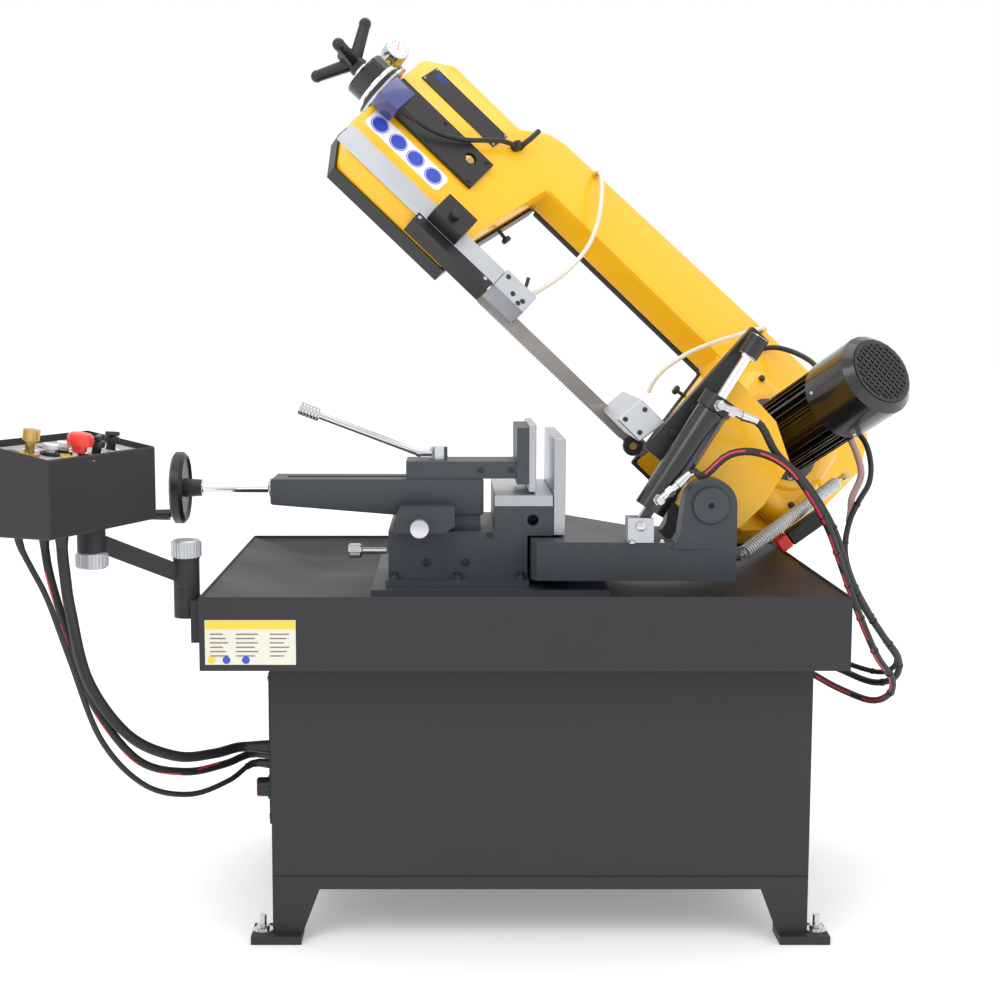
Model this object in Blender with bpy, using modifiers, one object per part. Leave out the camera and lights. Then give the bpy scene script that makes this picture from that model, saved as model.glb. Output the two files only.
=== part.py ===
"""Swivel band saw with a canted, hinged saw head, built from separate parts.

Units are metres and +Z is up. +X runs towards the head's hinge and +Y away from the operator.
The floor is Z = 0. The machine stands under the empty called "machine", whose place puts the
model's origin at the middle of its footprint.
"""
import math

import bmesh
import bpy
from mathutils import Matrix, Vector

# ---------------------------------------------------------------- driving dimensions
GAP = 0.0003                       # clearance between pieces that touch
MACHINE_PLACE = (0.03844, 0.05675, 0.0)    # shifts the machine so that the origin is under its middle

TRAY_X, TRAY_Y = (-0.497, 0.507), (-0.350, 0.350)
TRAY_RIM, TRAY_FLOOR, TRAY_SKIRT = 0.573, 0.548, 0.460
TRAY_SHEET = 0.003
CABINET_X = (-0.397, 0.466)
CABINET_Y = (-0.280, 0.280)
CABINET_SHEET = 0.004
SIDE_PANEL = 0.008                 # how far the switchgear panel stands off the left wall
CABINET_SKIRT = 0.086              # underside of the cabinet between its legs
LEG_FOOT = 0.012
BED_TOP = 0.710                    # where the work rests

HEAD_ORIGIN = (0.3126, 0.145, 0.6955)   # middle of the blade beside the drive wheel
PIVOT = (0.309, 0.701)             # X and Z of the head's hinge axis, which runs along Y
RAISE = math.radians(43.5)         # how far the head is raised
CANT = math.radians(40.0)          # how far the wheels lean back from the cutting plane
WHEEL_RADIUS = 0.142
DRIVE_X, IDLER_X = 0.071, -0.730   # wheel centres along the head
WHEEL_HALF_WIDTH = 0.015
TENSION_Y, TENSION_Z = -0.035, 0.160   # axis of the tensioner, which runs along the head
BLADE_HALF_WIDTH, BLADE_THICK = 0.0135, 0.0012
FRONT, FRAME_SHEET, BACK = -0.047, 0.003, 0.020   # head frame: front face, wall and open back
GUIDE_LEFT, GUIDE_RIGHT = -0.503, -0.140          # where the blade guides hold the blade upright

MITRE_AXIS = (0.064, 0.145)        # X and Y of the upright axis that the saw turns about
ARM_LOW, ARM_TOP = 0.577, 0.640
EAR_RADIUS = 0.043
PIN_RADIUS = 0.0135
CYLINDER_FOOT = (0.197, 0.667)     # X and Z of the lift cylinder's lower pin
CYLINDER_HEAD = (0.377, 0.955)     # X and Z of its upper pin
CYLINDER_Y = -0.190
CYLINDER_RADIUS, ROD_RADIUS = 0.0265, 0.008

BEAM_Y = (-0.130, -0.036)
BEAM_MIDDLE_Y = -0.083
SCREW_Z = 0.716
BOX_POST = (-0.654, -0.370)        # X and Y of the post that the control box turns on
BOX_TURN = math.radians(-22.6)
PANEL_TILT = math.radians(10.0)   # the panel slopes down towards the operator's side
ARM_POST = (-0.5225, -0.300)       # X and Y of the post on the tray
PANEL_MIDDLE = (-0.0105, 0.8040)   # X and Z of the panel's face at its middle, in the box's axes

# ---------------------------------------------------------------- scene and helpers
for old in list(bpy.data.objects):
    bpy.data.objects.remove(old, do_unlink=True)

PARTS = bpy.data.collections.new("band_saw")
CUTTERS = bpy.data.collections.new("cutters")
for collection in (PARTS, CUTTERS):
    bpy.context.scene.collection.children.link(collection)

MATERIALS = {
    "yellow": ((0.95, 0.56, 0.01), 0.35, 0.0),
    "charcoal": ((0.055, 0.058, 0.065), 0.55, 0.0),
    "casting": ((0.060, 0.068, 0.078), 0.60, 0.0),
    "black": ((0.015, 0.015, 0.017), 0.45, 0.0),
    "rubber": ((0.020, 0.020, 0.021), 0.75, 0.0),
    "steel": ((0.62, 0.62, 0.62), 0.30, 1.0),
    "zinc": ((0.72, 0.73, 0.74), 0.35, 1.0),
    "aluminium": ((0.78, 0.79, 0.80), 0.45, 0.9),
    "blade_steel": ((0.36, 0.33, 0.30), 0.45, 0.9),
    "brass": ((0.70, 0.50, 0.16), 0.30, 1.0),
    "red": ((0.85, 0.04, 0.03), 0.35, 0.0),
    "white": ((0.85, 0.85, 0.88), 0.40, 0.0),
    "blue": ((0.10, 0.12, 0.40), 0.15, 0.0),
    "panel": ((0.50, 0.50, 0.48), 0.50, 0.0),
    "hose_clear": ((0.80, 0.74, 0.66), 0.30, 0.0),
    "galvanised": ((0.55, 0.56, 0.57), 0.50, 0.8),
}


def material(node, kind):
    """A Principled material of this kind, one for each part."""
    colour, roughness, metallic = MATERIALS[kind]
    result = bpy.data.materials.new(node)
    result.use_nodes = True
    shader = result.node_tree.nodes["Principled BSDF"]
    shader.inputs["Base Color"].default_value = (*colour, 1.0)
    shader.inputs["Roughness"].default_value = roughness
    shader.inputs["Metallic"].default_value = metallic
    return result


def empty(name, place, turn=(0.0, 0.0, 0.0), parent=None):
    """An empty that carries parts."""
    result = bpy.data.objects.new(name, None)
    bpy.context.scene.collection.objects.link(result)
    result.location = place
    result.rotation_euler = turn
    result.parent = parent
    return result


def part(name, mesh, kind, parent, smooth=30.0):
    """Links a mesh as a sub-part under its parent."""
    result = bpy.data.objects.new(name, mesh)
    PARTS.objects.link(result)
    result.parent = parent
    mesh.materials.clear()
    mesh.materials.append(material(name, kind))
    mesh.shade_smooth()
    mesh.set_sharp_from_angle(angle=math.radians(smooth))
    return result


def cutter(name, mesh, parent):
    """Links a mesh as a helper that Boolean modifiers read."""
    result = bpy.data.objects.new(name, mesh)
    CUTTERS.objects.link(result)
    result.parent = parent
    result.hide_render = True
    result.display_type = "WIRE"
    return result


def boolean(target, tool, operation):
    """Adds an exact Boolean modifier."""
    modifier = target.modifiers.new(operation.lower() + "_" + tool.name, "BOOLEAN")
    modifier.object = tool
    modifier.operation = operation
    modifier.solver = "EXACT"


def cut(target, *tools):
    """Takes each tool's shape out of the target."""
    for tool in tools:
        boolean(target, tool, "DIFFERENCE")


def join(target, *tools):
    """Adds each tool's shape to the target."""
    for tool in tools:
        boolean(target, tool, "UNION")


def bevel(target, width, segments=1, angle=40.0):
    """Rounds the target's sharp edges."""
    modifier = target.modifiers.new("bevel", "BEVEL")
    modifier.width = width
    modifier.segments = segments
    modifier.limit_method = "ANGLE"
    modifier.angle_limit = math.radians(angle)
    return target


def mesh_from(bm, name):
    """Turns a bmesh into a mesh with its faces pointing out."""
    bmesh.ops.recalc_face_normals(bm, faces=bm.faces)
    mesh = bpy.data.meshes.new(name)
    bm.to_mesh(mesh)
    bm.free()
    return mesh


def box_mesh(low, high):
    """A box between two corners."""
    low, high = Vector(low), Vector(high)
    bm = bmesh.new()
    bmesh.ops.create_cube(bm, size=1.0)
    bmesh.ops.scale(bm, vec=high - low, verts=bm.verts)
    bmesh.ops.translate(bm, vec=(low + high) / 2, verts=bm.verts)
    return mesh_from(bm, "box")


def rod_mesh(start, end, radius, end_radius=None, sides=24):
    """A cylinder or a cone between two points."""
    start, end = Vector(start), Vector(end)
    axis = end - start
    bm = bmesh.new()
    bmesh.ops.create_cone(
        bm, cap_ends=True, segments=sides, radius1=radius,
        radius2=radius if end_radius is None else end_radius, depth=axis.length,
    )
    turn = axis.to_track_quat("Z", "Y").to_matrix().to_4x4()
    bmesh.ops.transform(bm, matrix=Matrix.Translation((start + end) / 2) @ turn, verts=bm.verts)
    return mesh_from(bm, "rod")


def plate_mesh(outline, low, high, axis="Y"):
    """A flat outline made thick along one axis, from a filled 2D curve."""
    curve = bpy.data.curves.new("outline", "CURVE")
    curve.dimensions = "2D"
    curve.fill_mode = "BOTH"
    curve.extrude = (high - low) / 2
    spline = curve.splines.new("POLY")
    spline.points.add(len(outline) - 1)
    for point, (across, up) in zip(spline.points, outline):
        point.co = (across, up, 0.0, 1.0)
    spline.use_cyclic_u = True
    holder = bpy.data.objects.new("outline", curve)
    bpy.context.scene.collection.objects.link(holder)
    graph = bpy.context.evaluated_depsgraph_get()
    mesh = bpy.data.meshes.new_from_object(holder.evaluated_get(graph))
    bpy.data.objects.remove(holder, do_unlink=True)
    middle = (low + high) / 2
    if axis == "Y":      # outline in X and Z
        place = Matrix.Translation((0, middle, 0)) @ Matrix.Rotation(math.pi / 2, 4, "X")
    elif axis == "X":    # outline in Y and Z
        place = Matrix.Translation((middle, 0, 0)) @ Matrix(
            ((0, 0, 1, 0), (1, 0, 0, 0), (0, 1, 0, 0), (0, 0, 0, 1)))
    else:                # outline in X and Y
        place = Matrix.Translation((0, 0, middle))
    bm = bmesh.new()
    bm.from_mesh(mesh)
    bpy.data.meshes.remove(mesh)
    bmesh.ops.remove_doubles(bm, verts=bm.verts, dist=0.00001)
    bmesh.ops.transform(bm, matrix=place, verts=bm.verts)
    return mesh_from(bm, "plate")


def arc(centre, radius, start, end, steps):
    """Points of an arc, its angles in degrees."""
    return [
        (centre[0] + radius * math.cos(math.radians(start + (end - start) * i / steps)),
         centre[1] + radius * math.sin(math.radians(start + (end - start) * i / steps)))
        for i in range(steps + 1)
    ]


def shell_mesh(outline, low, high):
    """An open-backed surface: an outline in X and Z at low, with walls along Y to high."""
    bm = bmesh.new()
    near = [bm.verts.new((x, low, z)) for x, z in outline]
    far = [bm.verts.new((x, high, z)) for x, z in outline]
    bm.faces.new(near)
    for i in range(len(outline)):
        j = (i + 1) % len(outline)
        bm.faces.new((near[i], far[i], far[j], near[j]))
    bmesh.ops.recalc_face_normals(bm, faces=bm.faces)
    if bm.faces[0].normal.y > 0:
        bmesh.ops.reverse_faces(bm, faces=bm.faces)
    mesh = bpy.data.meshes.new("shell")
    bm.to_mesh(mesh)
    bm.free()
    return mesh


def solidify(target, thickness):
    """Gives an open surface its sheet thickness, on its inner side."""
    modifier = target.modifiers.new("sheet", "SOLIDIFY")
    modifier.thickness = thickness
    modifier.offset = -1.0
    modifier.use_even_offset = True
    return target


def turned(name, profile, kind, parent, place, direction, steps=32):
    """A turned part: (radius, height) points from top to bottom, turned about a direction."""
    bm = bmesh.new()
    verts = [bm.verts.new((radius, 0.0, height)) for radius, height in profile]
    for first, second in zip(verts, verts[1:]):
        bm.edges.new((first, second))
    mesh = bpy.data.meshes.new(name)
    bm.to_mesh(mesh)
    bm.free()
    result = part(name, mesh, kind, parent)
    result.location = place
    result.rotation_euler = Vector(direction).to_track_quat("Z", "Y").to_euler()
    screw = result.modifiers.new("turn", "SCREW")
    screw.axis = "Z"
    screw.angle = 2 * math.pi
    screw.steps = steps
    screw.render_steps = steps
    screw.use_merge_vertices = True
    screw.merge_threshold = 0.00005
    return result


def smooth_route(points, spacing):
    """Evenly spaced points on one smooth curve through the route's own points."""
    knots = [Vector(p) for p in points]
    knots = [2 * knots[0] - knots[1], *knots, 2 * knots[-1] - knots[-2]]
    dense = []
    for a, b, c, d in zip(knots, knots[1:], knots[2:], knots[3:]):
        for i in range(20):
            t = i / 20
            dense.append(0.5 * (2 * b + (c - a) * t + (2 * a - 5 * b + 4 * c - d) * t * t
                                + (3 * b - a - 3 * c + d) * t * t * t))
    dense.append(knots[-2])
    lengths = [0.0]
    for a, b in zip(dense, dense[1:]):
        lengths.append(lengths[-1] + (b - a).length)
    count = max(2, round(lengths[-1] / spacing))
    result, k = [], 0
    for i in range(count + 1):
        want = lengths[-1] * i / count
        while k < len(dense) - 2 and lengths[k + 1] < want:
            k += 1
        span = max(lengths[k + 1] - lengths[k], 1e-9)
        result.append(dense[k].lerp(dense[k + 1], min(1.0, (want - lengths[k]) / span)))
    return result


def tube(name, points, radius, kind, parent):
    """A cord, hose or cable along a smooth route."""
    route = smooth_route(points, 6 * radius)
    curve = bpy.data.curves.new(name, "CURVE")
    curve.dimensions = "3D"
    curve.bevel_depth = radius
    curve.bevel_resolution = 2
    curve.use_fill_caps = True
    spline = curve.splines.new("POLY")
    spline.points.add(len(route) - 1)
    for point, place in zip(spline.points, route):
        point.co = (*place, 1.0)
    result = bpy.data.objects.new(name, curve)
    PARTS.objects.link(result)
    result.parent = parent
    curve.materials.append(material(name, kind))
    return result


def box(name, low, high, kind, parent, rounding=0.0, segments=1):
    """A box part, its edges rounded where asked."""
    result = part(name, box_mesh(low, high), kind, parent)
    return bevel(result, rounding, segments) if rounding else result


def rod(name, start, end, radius, kind, parent, sides=24):
    """A round bar part."""
    return part(name, rod_mesh(start, end, radius, sides=sides), kind, parent)


MACHINE = empty("machine", MACHINE_PLACE)
HEAD = empty("head_axes", HEAD_ORIGIN, (-CANT, RAISE, 0.0), MACHINE)
CONTROL = empty("control_axes", (*BOX_POST, 0.0), (0.0, 0.0, BOX_TURN), MACHINE)


# ---------------------------------------------------------------- stand
def build_cabinet():
    """Sheet-metal cabinet on four legs with bolted foot pads, and its inner shelf."""
    (left, right), (front, back) = CABINET_X, CABINET_Y
    top = TRAY_FLOOR - TRAY_SHEET - GAP
    cabinet = part("cabinet", box_mesh((left, front, LEG_FOOT), (right, back, top)),
                   "charcoal", MACHINE)
    sheet = CABINET_SHEET
    hollow = box_mesh((left + sheet, front + sheet, -0.1), (right - sheet, back - sheet, top - sheet))
    leg_top, leg_foot, slope_x, slope_y = CABINET_SKIRT, -0.02, 0.040, 0.030
    long_gap = plate_mesh([
        (left + 0.076, leg_top), (left + 0.076 - slope_x, leg_foot),
        (right - 0.076 + slope_x, leg_foot), (right - 0.076, leg_top)], front - 0.1, back + 0.1)
    side_gap = plate_mesh([
        (front + 0.070, leg_top), (front + 0.070 - slope_y, leg_foot),
        (back - 0.070 + slope_y, leg_foot), (back - 0.070, leg_top)],
        left - 0.1, right + 0.1, axis="X")
    cut(cabinet, cutter("cabinet_hollow", hollow, MACHINE),
        cutter("cabinet_long_gap", long_gap, MACHINE), cutter("cabinet_side_gap", side_gap, MACHINE))
    panel = box_mesh((left - SIDE_PANEL, -0.235, 0.180), (left + 0.002, 0.060, 0.430))
    join(cabinet, cutter("switchgear_panel", panel, MACHINE))
    shelf = box_mesh((left + 0.002, front + 0.040, 0.098), (right - 0.002, back - 0.040, 0.1097))
    join(cabinet, cutter("tank_shelf", shelf, MACHINE))
    inset = 0.012
    for end, x, outwards in (("left", left + inset, -1), ("right", right - inset, 1)):
        for side, y in (("front", front + inset), ("rear", back - inset)):
            inner, outer = x - outwards * 0.035, x + outwards * 0.046
            pad = box_mesh((min(inner, outer), y - 0.03, 0.0), (max(inner, outer), y + 0.03, 0.0135))
            centre = x + outwards * 0.029
            nut = rod_mesh((centre, y, 0.005), (centre, y, 0.022), 0.009, sides=6)
            join(cabinet, cutter(f"foot_pad_{side}_{end}", pad, MACHINE),
                 cutter(f"foot_nut_{side}_{end}", nut, MACHINE))


def build_tray():
    """Chip and coolant tray: a folded skirt, a rim, four sloping sides and a flat floor."""
    (left, right), (front, back) = TRAY_X, TRAY_Y
    levels = (
        ((left, right, front, back), TRAY_SKIRT),
        ((left, right, front, back), TRAY_RIM),
        ((left + 0.120, right - 0.080, front + 0.075, back - 0.075), TRAY_FLOOR),
    )
    bm = bmesh.new()
    rings = []
    for (x0, x1, y0, y1), z in levels:
        rings.append([bm.verts.new(p) for p in
                      ((x0, y0, z), (x1, y0, z), (x1, y1, z), (x0, y1, z))])
    for lower, upper in zip(rings, rings[1:]):
        for i in range(4):
            j = (i + 1) % 4
            bm.faces.new((lower[i], lower[j], upper[j], upper[i]))
    bm.faces.new(rings[-1])
    mesh = bpy.data.meshes.new("tray")
    bm.to_mesh(mesh)
    bm.free()
    solidify(part("chip_tray", mesh, "charcoal", MACHINE), TRAY_SHEET)


def build_main_switch():
    """Rotary main switch on the cabinet's side panel."""
    turned("main_switch", [(0.0, 0.022), (0.016, 0.022), (0.016, 0.005), (0.020, 0.005),
                           (0.020, 0.0), (0.0, 0.0)],
           "black", MACHINE, (CABINET_X[0] - SIDE_PANEL - GAP, -0.200, 0.232), (-1, 0, 0), 16)


# ---------------------------------------------------------------- vise
def build_vise_base():
    """Base plate, cast vise base with its overhanging bed, steel bed strip and fixed jaw."""
    plate = part("base_plate", box_mesh((-0.240, -0.195, TRAY_FLOOR + GAP), (0.150, 0.215, 0.5597)),
                 "casting", MACHINE)
    x, y = MITRE_AXIS
    spindle = rod_mesh((x, y, 0.555), (x, y, 0.6405), 0.0120, sides=20)
    cap = rod_mesh((x, y, ARM_TOP + GAP), (x, y, ARM_TOP + 0.0035), 0.018, sides=20)
    join(plate, cutter("mitre_spindle", spindle, MACHINE), cutter("spindle_cap", cap, MACHINE))
    base = part("vise_base", box_mesh((-0.213, -0.150, 0.565), (0.017, 0.120, 0.650)),
                "casting", MACHINE)
    flange = box_mesh((-0.217, -0.172, 0.5600), (0.019, 0.140, 0.572))
    bed = box_mesh((-0.037, -0.150, 0.6435), (0.060, 0.120, 0.694))
    table = box_mesh((-0.037, -0.150, 0.690), (0.060, 0.120, BED_TOP))
    slideway = box_mesh((-0.200, -0.120, 0.645), (-0.060, -0.046, 0.6745))
    join(base, cutter("vise_flange", flange, MACHINE), cutter("vise_bed", bed, MACHINE),
         cutter("vise_table", table, MACHINE), cutter("vise_slideway", slideway, MACHINE))
    for index, x in enumerate((-0.203, -0.098, 0.006)):
        join(base, cutter(f"base_bolt_{index}",
                          rod_mesh((x, -0.162, 0.565), (x, -0.162, 0.580), 0.0065, sides=12), MACHINE))
    eye = rod_mesh((0.026, -0.170, 0.669), (0.026, -0.100, 0.669), 0.0095, sides=16)
    cut(base, cutter("bed_eye", eye, MACHINE))
    box("fixed_jaw", (0.060 + GAP, -0.150, 0.6440), (0.0795, 0.130, 0.804), "steel", MACHINE, 0.0008)


def build_vise_beam():
    """Slotted beam that the moving jaw runs on, and the block that clamps the beam."""
    front, back = BEAM_Y
    beam = part("vise_beam", plate_mesh([(-0.410, 0.692), (-0.200, 0.6748), (-0.055, 0.6748),
                                         (-0.055, 0.735), (-0.410, 0.735)], front, back),
                "casting", MACHINE)
    bevel(beam, 0.004, 2)
    slot = box_mesh((-0.385, BEAM_MIDDLE_Y - 0.011, 0.60), (-0.100, BEAM_MIDDLE_Y + 0.011, 0.80))
    bore = rod_mesh((-0.450, BEAM_MIDDLE_Y, SCREW_Z), (-0.380, BEAM_MIDDLE_Y, SCREW_Z), 0.0085, sides=16)
    cut(beam, cutter("beam_slot", slot, MACHINE), cutter("beam_bore", bore, MACHINE))
    clamp = part("beam_clamp_block", plate_mesh([
        (-0.204, 0.6503), (-0.120, 0.6503), (-0.103, 0.662), (-0.103, 0.693), (-0.193, 0.693),
        (-0.204, 0.668)], -0.176, front - 0.001), "casting", MACHINE)
    stem = rod_mesh((-0.160, -0.200, 0.664), (-0.160, -0.150, 0.664), 0.0068, sides=16)
    cut(clamp, cutter("clamp_stem_hole", stem, MACHINE))
    turned("beam_clamp_knob", [(0.0, 0.068), (0.0145, 0.065), (0.0145, 0.040),
                               (0.0062, 0.036), (0.0062, 0.0), (0.0, 0.0)],
           "zinc", MACHINE, (-0.160, -0.176 + 0.012, 0.664), (0, -1, 0), 16)


def build_moving_jaw():
    """Moving jaw body with its steel face, clamp boss and cranked clamping lever."""
    body = part("moving_jaw", box_mesh((-0.184, -0.125, 0.735 + GAP), (0.004, -0.030, 0.764)),
                "casting", MACHINE)
    upright = box_mesh((0.0, -0.130, 0.726), (0.0197, 0.046, 0.820))
    stud = rod_mesh((-0.130, BEAM_MIDDLE_Y, 0.700), (-0.130, BEAM_MIDDLE_Y, 0.750), 0.0080, sides=16)
    join(body, cutter("jaw_upright", upright, MACHINE), cutter("jaw_stud", stud, MACHINE))
    box("moving_jaw_face", (0.020, -0.132, 0.7135), (0.032, 0.050, 0.826), "steel", MACHINE, 0.0008)
    lever = part("jaw_clamp_lever", rod_mesh((-0.130, BEAM_MIDDLE_Y, 0.7645),
                                             (-0.130, BEAM_MIDDLE_Y, 0.786), 0.0155), "zinc", MACHINE)
    elbow = (-0.163, BEAM_MIDDLE_Y - 0.010, 0.776)
    grip = (-0.328, BEAM_MIDDLE_Y - 0.030, 0.840)
    tip = (-0.361, BEAM_MIDDLE_Y - 0.034, 0.853)
    lengths = (((-0.125, BEAM_MIDDLE_Y, 0.775), elbow, 0.0058, 12), (elbow, grip, 0.0060, 12),
               (grip, tip, 0.0105, 16))
    for index, (start, end, radius, sides) in enumerate(lengths):
        join(lever, cutter(f"lever_length_{index}", rod_mesh(start, end, radius, sides=sides), MACHINE))
    join(lever, cutter("lever_elbow", rod_mesh(
        Vector(elbow) - Vector((0.004, 0, -0.001)), Vector(elbow) + Vector((0.004, 0, -0.001)),
        0.0066, sides=12), MACHINE))


def build_vise_screw():
    """Vise screw with its handwheel, and the wheel's crank grip."""
    wheel = turned("vise_handwheel", [
        (0.0, 0.190), (0.0078, 0.190), (0.0078, 0.046), (0.014, 0.046), (0.016, 0.017),
        (0.050, 0.016), (0.055, 0.020), (0.061, 0.014), (0.061, 0.002), (0.055, -0.002),
        (0.016, 0.003), (0.014, -0.004), (0.0, -0.004)],
        "black", MACHINE, (-0.575, BEAM_MIDDLE_Y, SCREW_Z), (1, 0, 0), 20)
    height = SCREW_Z - 0.046
    pin = rod_mesh((-0.572, BEAM_MIDDLE_Y, height), (-0.600, BEAM_MIDDLE_Y, height), 0.004, sides=12)
    grip = rod_mesh((-0.585, BEAM_MIDDLE_Y, height), (-0.637, BEAM_MIDDLE_Y, height), 0.0095, 0.008, 12)
    join(wheel, cutter("handwheel_pin", pin, MACHINE), cutter("handwheel_grip", grip, MACHINE))


def build_mitre_lock():
    """Locking lever at the left of the vise base."""
    turned("mitre_lock_lever", [(0.0, 0.0), (0.0055, 0.0), (0.0055, -0.040), (0.0115, -0.042),
                                (0.0115, -0.062), (0.009, -0.064), (0.0, -0.064)],
           "zinc", MACHINE, (-0.2180, -0.100, 0.611), (1, 0, 0), 16)


# ---------------------------------------------------------------- mitre arm and lift cylinder
def ear_outline():
    """Outline in X and Z of one hinge ear, round on top."""
    x, z = PIVOT
    return [(x - 0.062, ARM_TOP - 0.010), (x - EAR_RADIUS - 0.006, ARM_TOP + 0.012),
            *arc(PIVOT, EAR_RADIUS, 180, 0, 12), (x + EAR_RADIUS, ARM_TOP - 0.010)]


def build_mitre_arm():
    """Cast arm that turns on the base plate and carries the head's two hinge ears."""
    x, y = MITRE_AXIS
    right = PIVOT[0] + EAR_RADIUS
    outline = [*arc(MITRE_AXIS, 0.042, 40, 180, 9), (0.022, -0.195), (0.030, -0.205), (right, -0.213),
               (right, -0.006), (0.210, 0.000)]
    arm = part("mitre_arm", plate_mesh(outline, ARM_LOW, ARM_TOP, axis="Z"), "casting", MACHINE)
    turntable = rod_mesh((x, y, 0.5600), (x, y, ARM_LOW + 0.005), 0.040, sides=28)
    anchor = rod_mesh((right - 0.010, -0.030, 0.588), (0.392, -0.030, 0.588), 0.005, sides=12)
    join(arm, cutter("turntable", turntable, MACHINE), cutter("spring_anchor", anchor, MACHINE),
         cutter("front_ear", plate_mesh(ear_outline(), -0.213, -0.165), MACHINE),
         cutter("rear_ear", plate_mesh(ear_outline(), -0.046, -0.006), MACHINE))
    hinge = rod_mesh((PIVOT[0], -0.3, PIVOT[1]), (PIVOT[0], 0.1, PIVOT[1]), PIN_RADIUS + 0.0003)
    spindle = rod_mesh((x, y, 0.5), (x, y, 0.7), 0.0125)
    well = box_mesh((0.245, -0.160, 0.600), (0.400, -0.051, 0.700))
    cut(arm, cutter("hinge_bore", hinge, MACHINE), cutter("spindle_bore", spindle, MACHINE),
        cutter("arm_well", well, MACHINE))
    turned("hinge_pin", [(0.0, 0.0060), (0.0280, 0.0060), (0.0290, 0.0003),
                         (PIN_RADIUS, 0.0003), (PIN_RADIUS, -0.212), (0.0, -0.212)],
           "steel", MACHINE, (PIVOT[0], -0.213, PIVOT[1]), (0, -1, 0), 20)


def build_lift_cylinder():
    """Hydraulic lift cylinder: foot bracket, barrel, and rod with its end block."""
    foot = Vector((CYLINDER_FOOT[0], CYLINDER_Y, CYLINDER_FOOT[1]))
    head = Vector((CYLINDER_HEAD[0], CYLINDER_Y, CYLINDER_HEAD[1]))
    along = (head - foot).normalized()
    bracket = part("cylinder_bracket", box_mesh((0.176, -0.212, ARM_TOP + GAP), (0.218, -0.168, 0.680)),
                   "aluminium", MACHINE)
    slot = box_mesh((0.150, -0.2015, 0.6430), (0.250, -0.1785, 0.750))
    pin = rod_mesh((foot.x, -0.2145, foot.z), (foot.x, -0.1655, foot.z), 0.0050, sides=16)
    cut(bracket, cutter("bracket_slot", slot, MACHINE))
    join(bracket, cutter("cylinder_pin", pin, MACHINE))
    barrel = turned("cylinder_barrel", [
        (0.0088, 0.243), (0.0290, 0.243), (0.0290, 0.218), (CYLINDER_RADIUS, 0.216),
        (CYLINDER_RADIUS, 0.030), (0.0, 0.030), (0.0, 0.040), (0.0205, 0.040), (0.0205, 0.228),
        (0.0088, 0.228), (0.0088, 0.243)],
        "black", MACHINE, foot, along, 20)
    eye = rod_mesh((-0.010, 0, 0), (0.010, 0, 0), 0.0105, sides=16)
    tang = box_mesh((-0.010, -0.0080, 0.0), (0.010, 0.0080, 0.0345))
    eye_bore = rod_mesh((-0.1, 0, 0), (0.1, 0, 0), 0.0054, sides=16)
    join(barrel, cutter("barrel_eye", eye, barrel), cutter("barrel_tang", tang, barrel))
    cut(barrel, cutter("barrel_bore", eye_bore, barrel))
    for name, distance, aim in (("upper", 0.230, (0.9, 0.0, -0.42)), ("lower", 0.052, (0.75, 0.0, 0.66))):
        start = foot + along * distance + Vector((0.0, -CYLINDER_RADIUS + 0.004, 0.0))
        bend = start + Vector((0.0, -0.018, 0.0))
        neck = rod_mesh(start, bend + Vector((0.0, -0.006, 0.0)), 0.0070, sides=12)
        nut = rod_mesh(bend, bend + Vector(aim).normalized() * 0.036, 0.0060, sides=12)
        join(barrel, cutter(f"{name}_port", neck, MACHINE), cutter(f"{name}_port_nut", nut, MACHINE))
    rod_part = turned("cylinder_rod", [
        (0.0, 0.326), (ROD_RADIUS, 0.326), (ROD_RADIUS, 0.172), (0.0200, 0.172), (0.0200, 0.150),
        (0.0, 0.150)],
        "zinc", MACHINE, foot, along, 20)
    reach = (head - foot).length
    end = rod_mesh((0, 0, reach - 0.018), (0, 0, reach + 0.018), 0.0160, sides=20)
    join(rod_part, cutter("rod_end", end, rod_part))


# ---------------------------------------------------------------- saw head
def head_outline():
    """Outline of the head frame in the head's own X and Z, anticlockwise from its lower left."""
    return [
        (-0.848, -0.018), (-0.590, -0.018), (-0.582, 0.075), (-0.548, 0.262), (-0.092, 0.262),
        (-0.092, -0.018), (0.131, -0.018), (0.172, 0.030), (0.228, 0.100), (0.262, 0.310),
        (0.238, 0.395), (0.180, 0.412), (-0.140, 0.400), (-0.586, 0.386), (-0.622, 0.375),
        (-0.668, 0.328), (-0.837, 0.328), (-0.885, 0.282), (-0.886, 0.042)]


def build_head_frame():
    """Open-backed C-shaped head frame, cut where the blade, shafts and bearings pass."""
    frame = part("head_frame", shell_mesh(head_outline(), FRONT, BACK), "yellow", HEAD)
    bevel(frame, 0.009, 2, 25.0)
    solidify(frame, FRAME_SHEET)
    blade_way = box_mesh((-0.610, -0.022, -0.014), (-0.575, 0.022, 0.016))
    blade_way_2 = box_mesh((-0.105, -0.022, -0.014), (-0.070, 0.022, 0.016))
    shaft_way = rod_mesh((DRIVE_X, -0.1, WHEEL_RADIUS), (DRIVE_X, 0.0, WHEEL_RADIUS), 0.020)
    axle_way = box_mesh((IDLER_X - 0.015, -0.1, WHEEL_RADIUS - 0.013),
                        (IDLER_X + 0.022, 0.0, WHEEL_RADIUS + 0.013))
    cut(frame, cutter("blade_way_idler", blade_way, HEAD), cutter("blade_way_drive", blade_way_2, HEAD),
        cutter("shaft_way", shaft_way, HEAD), cutter("axle_way", axle_way, HEAD))


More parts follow.
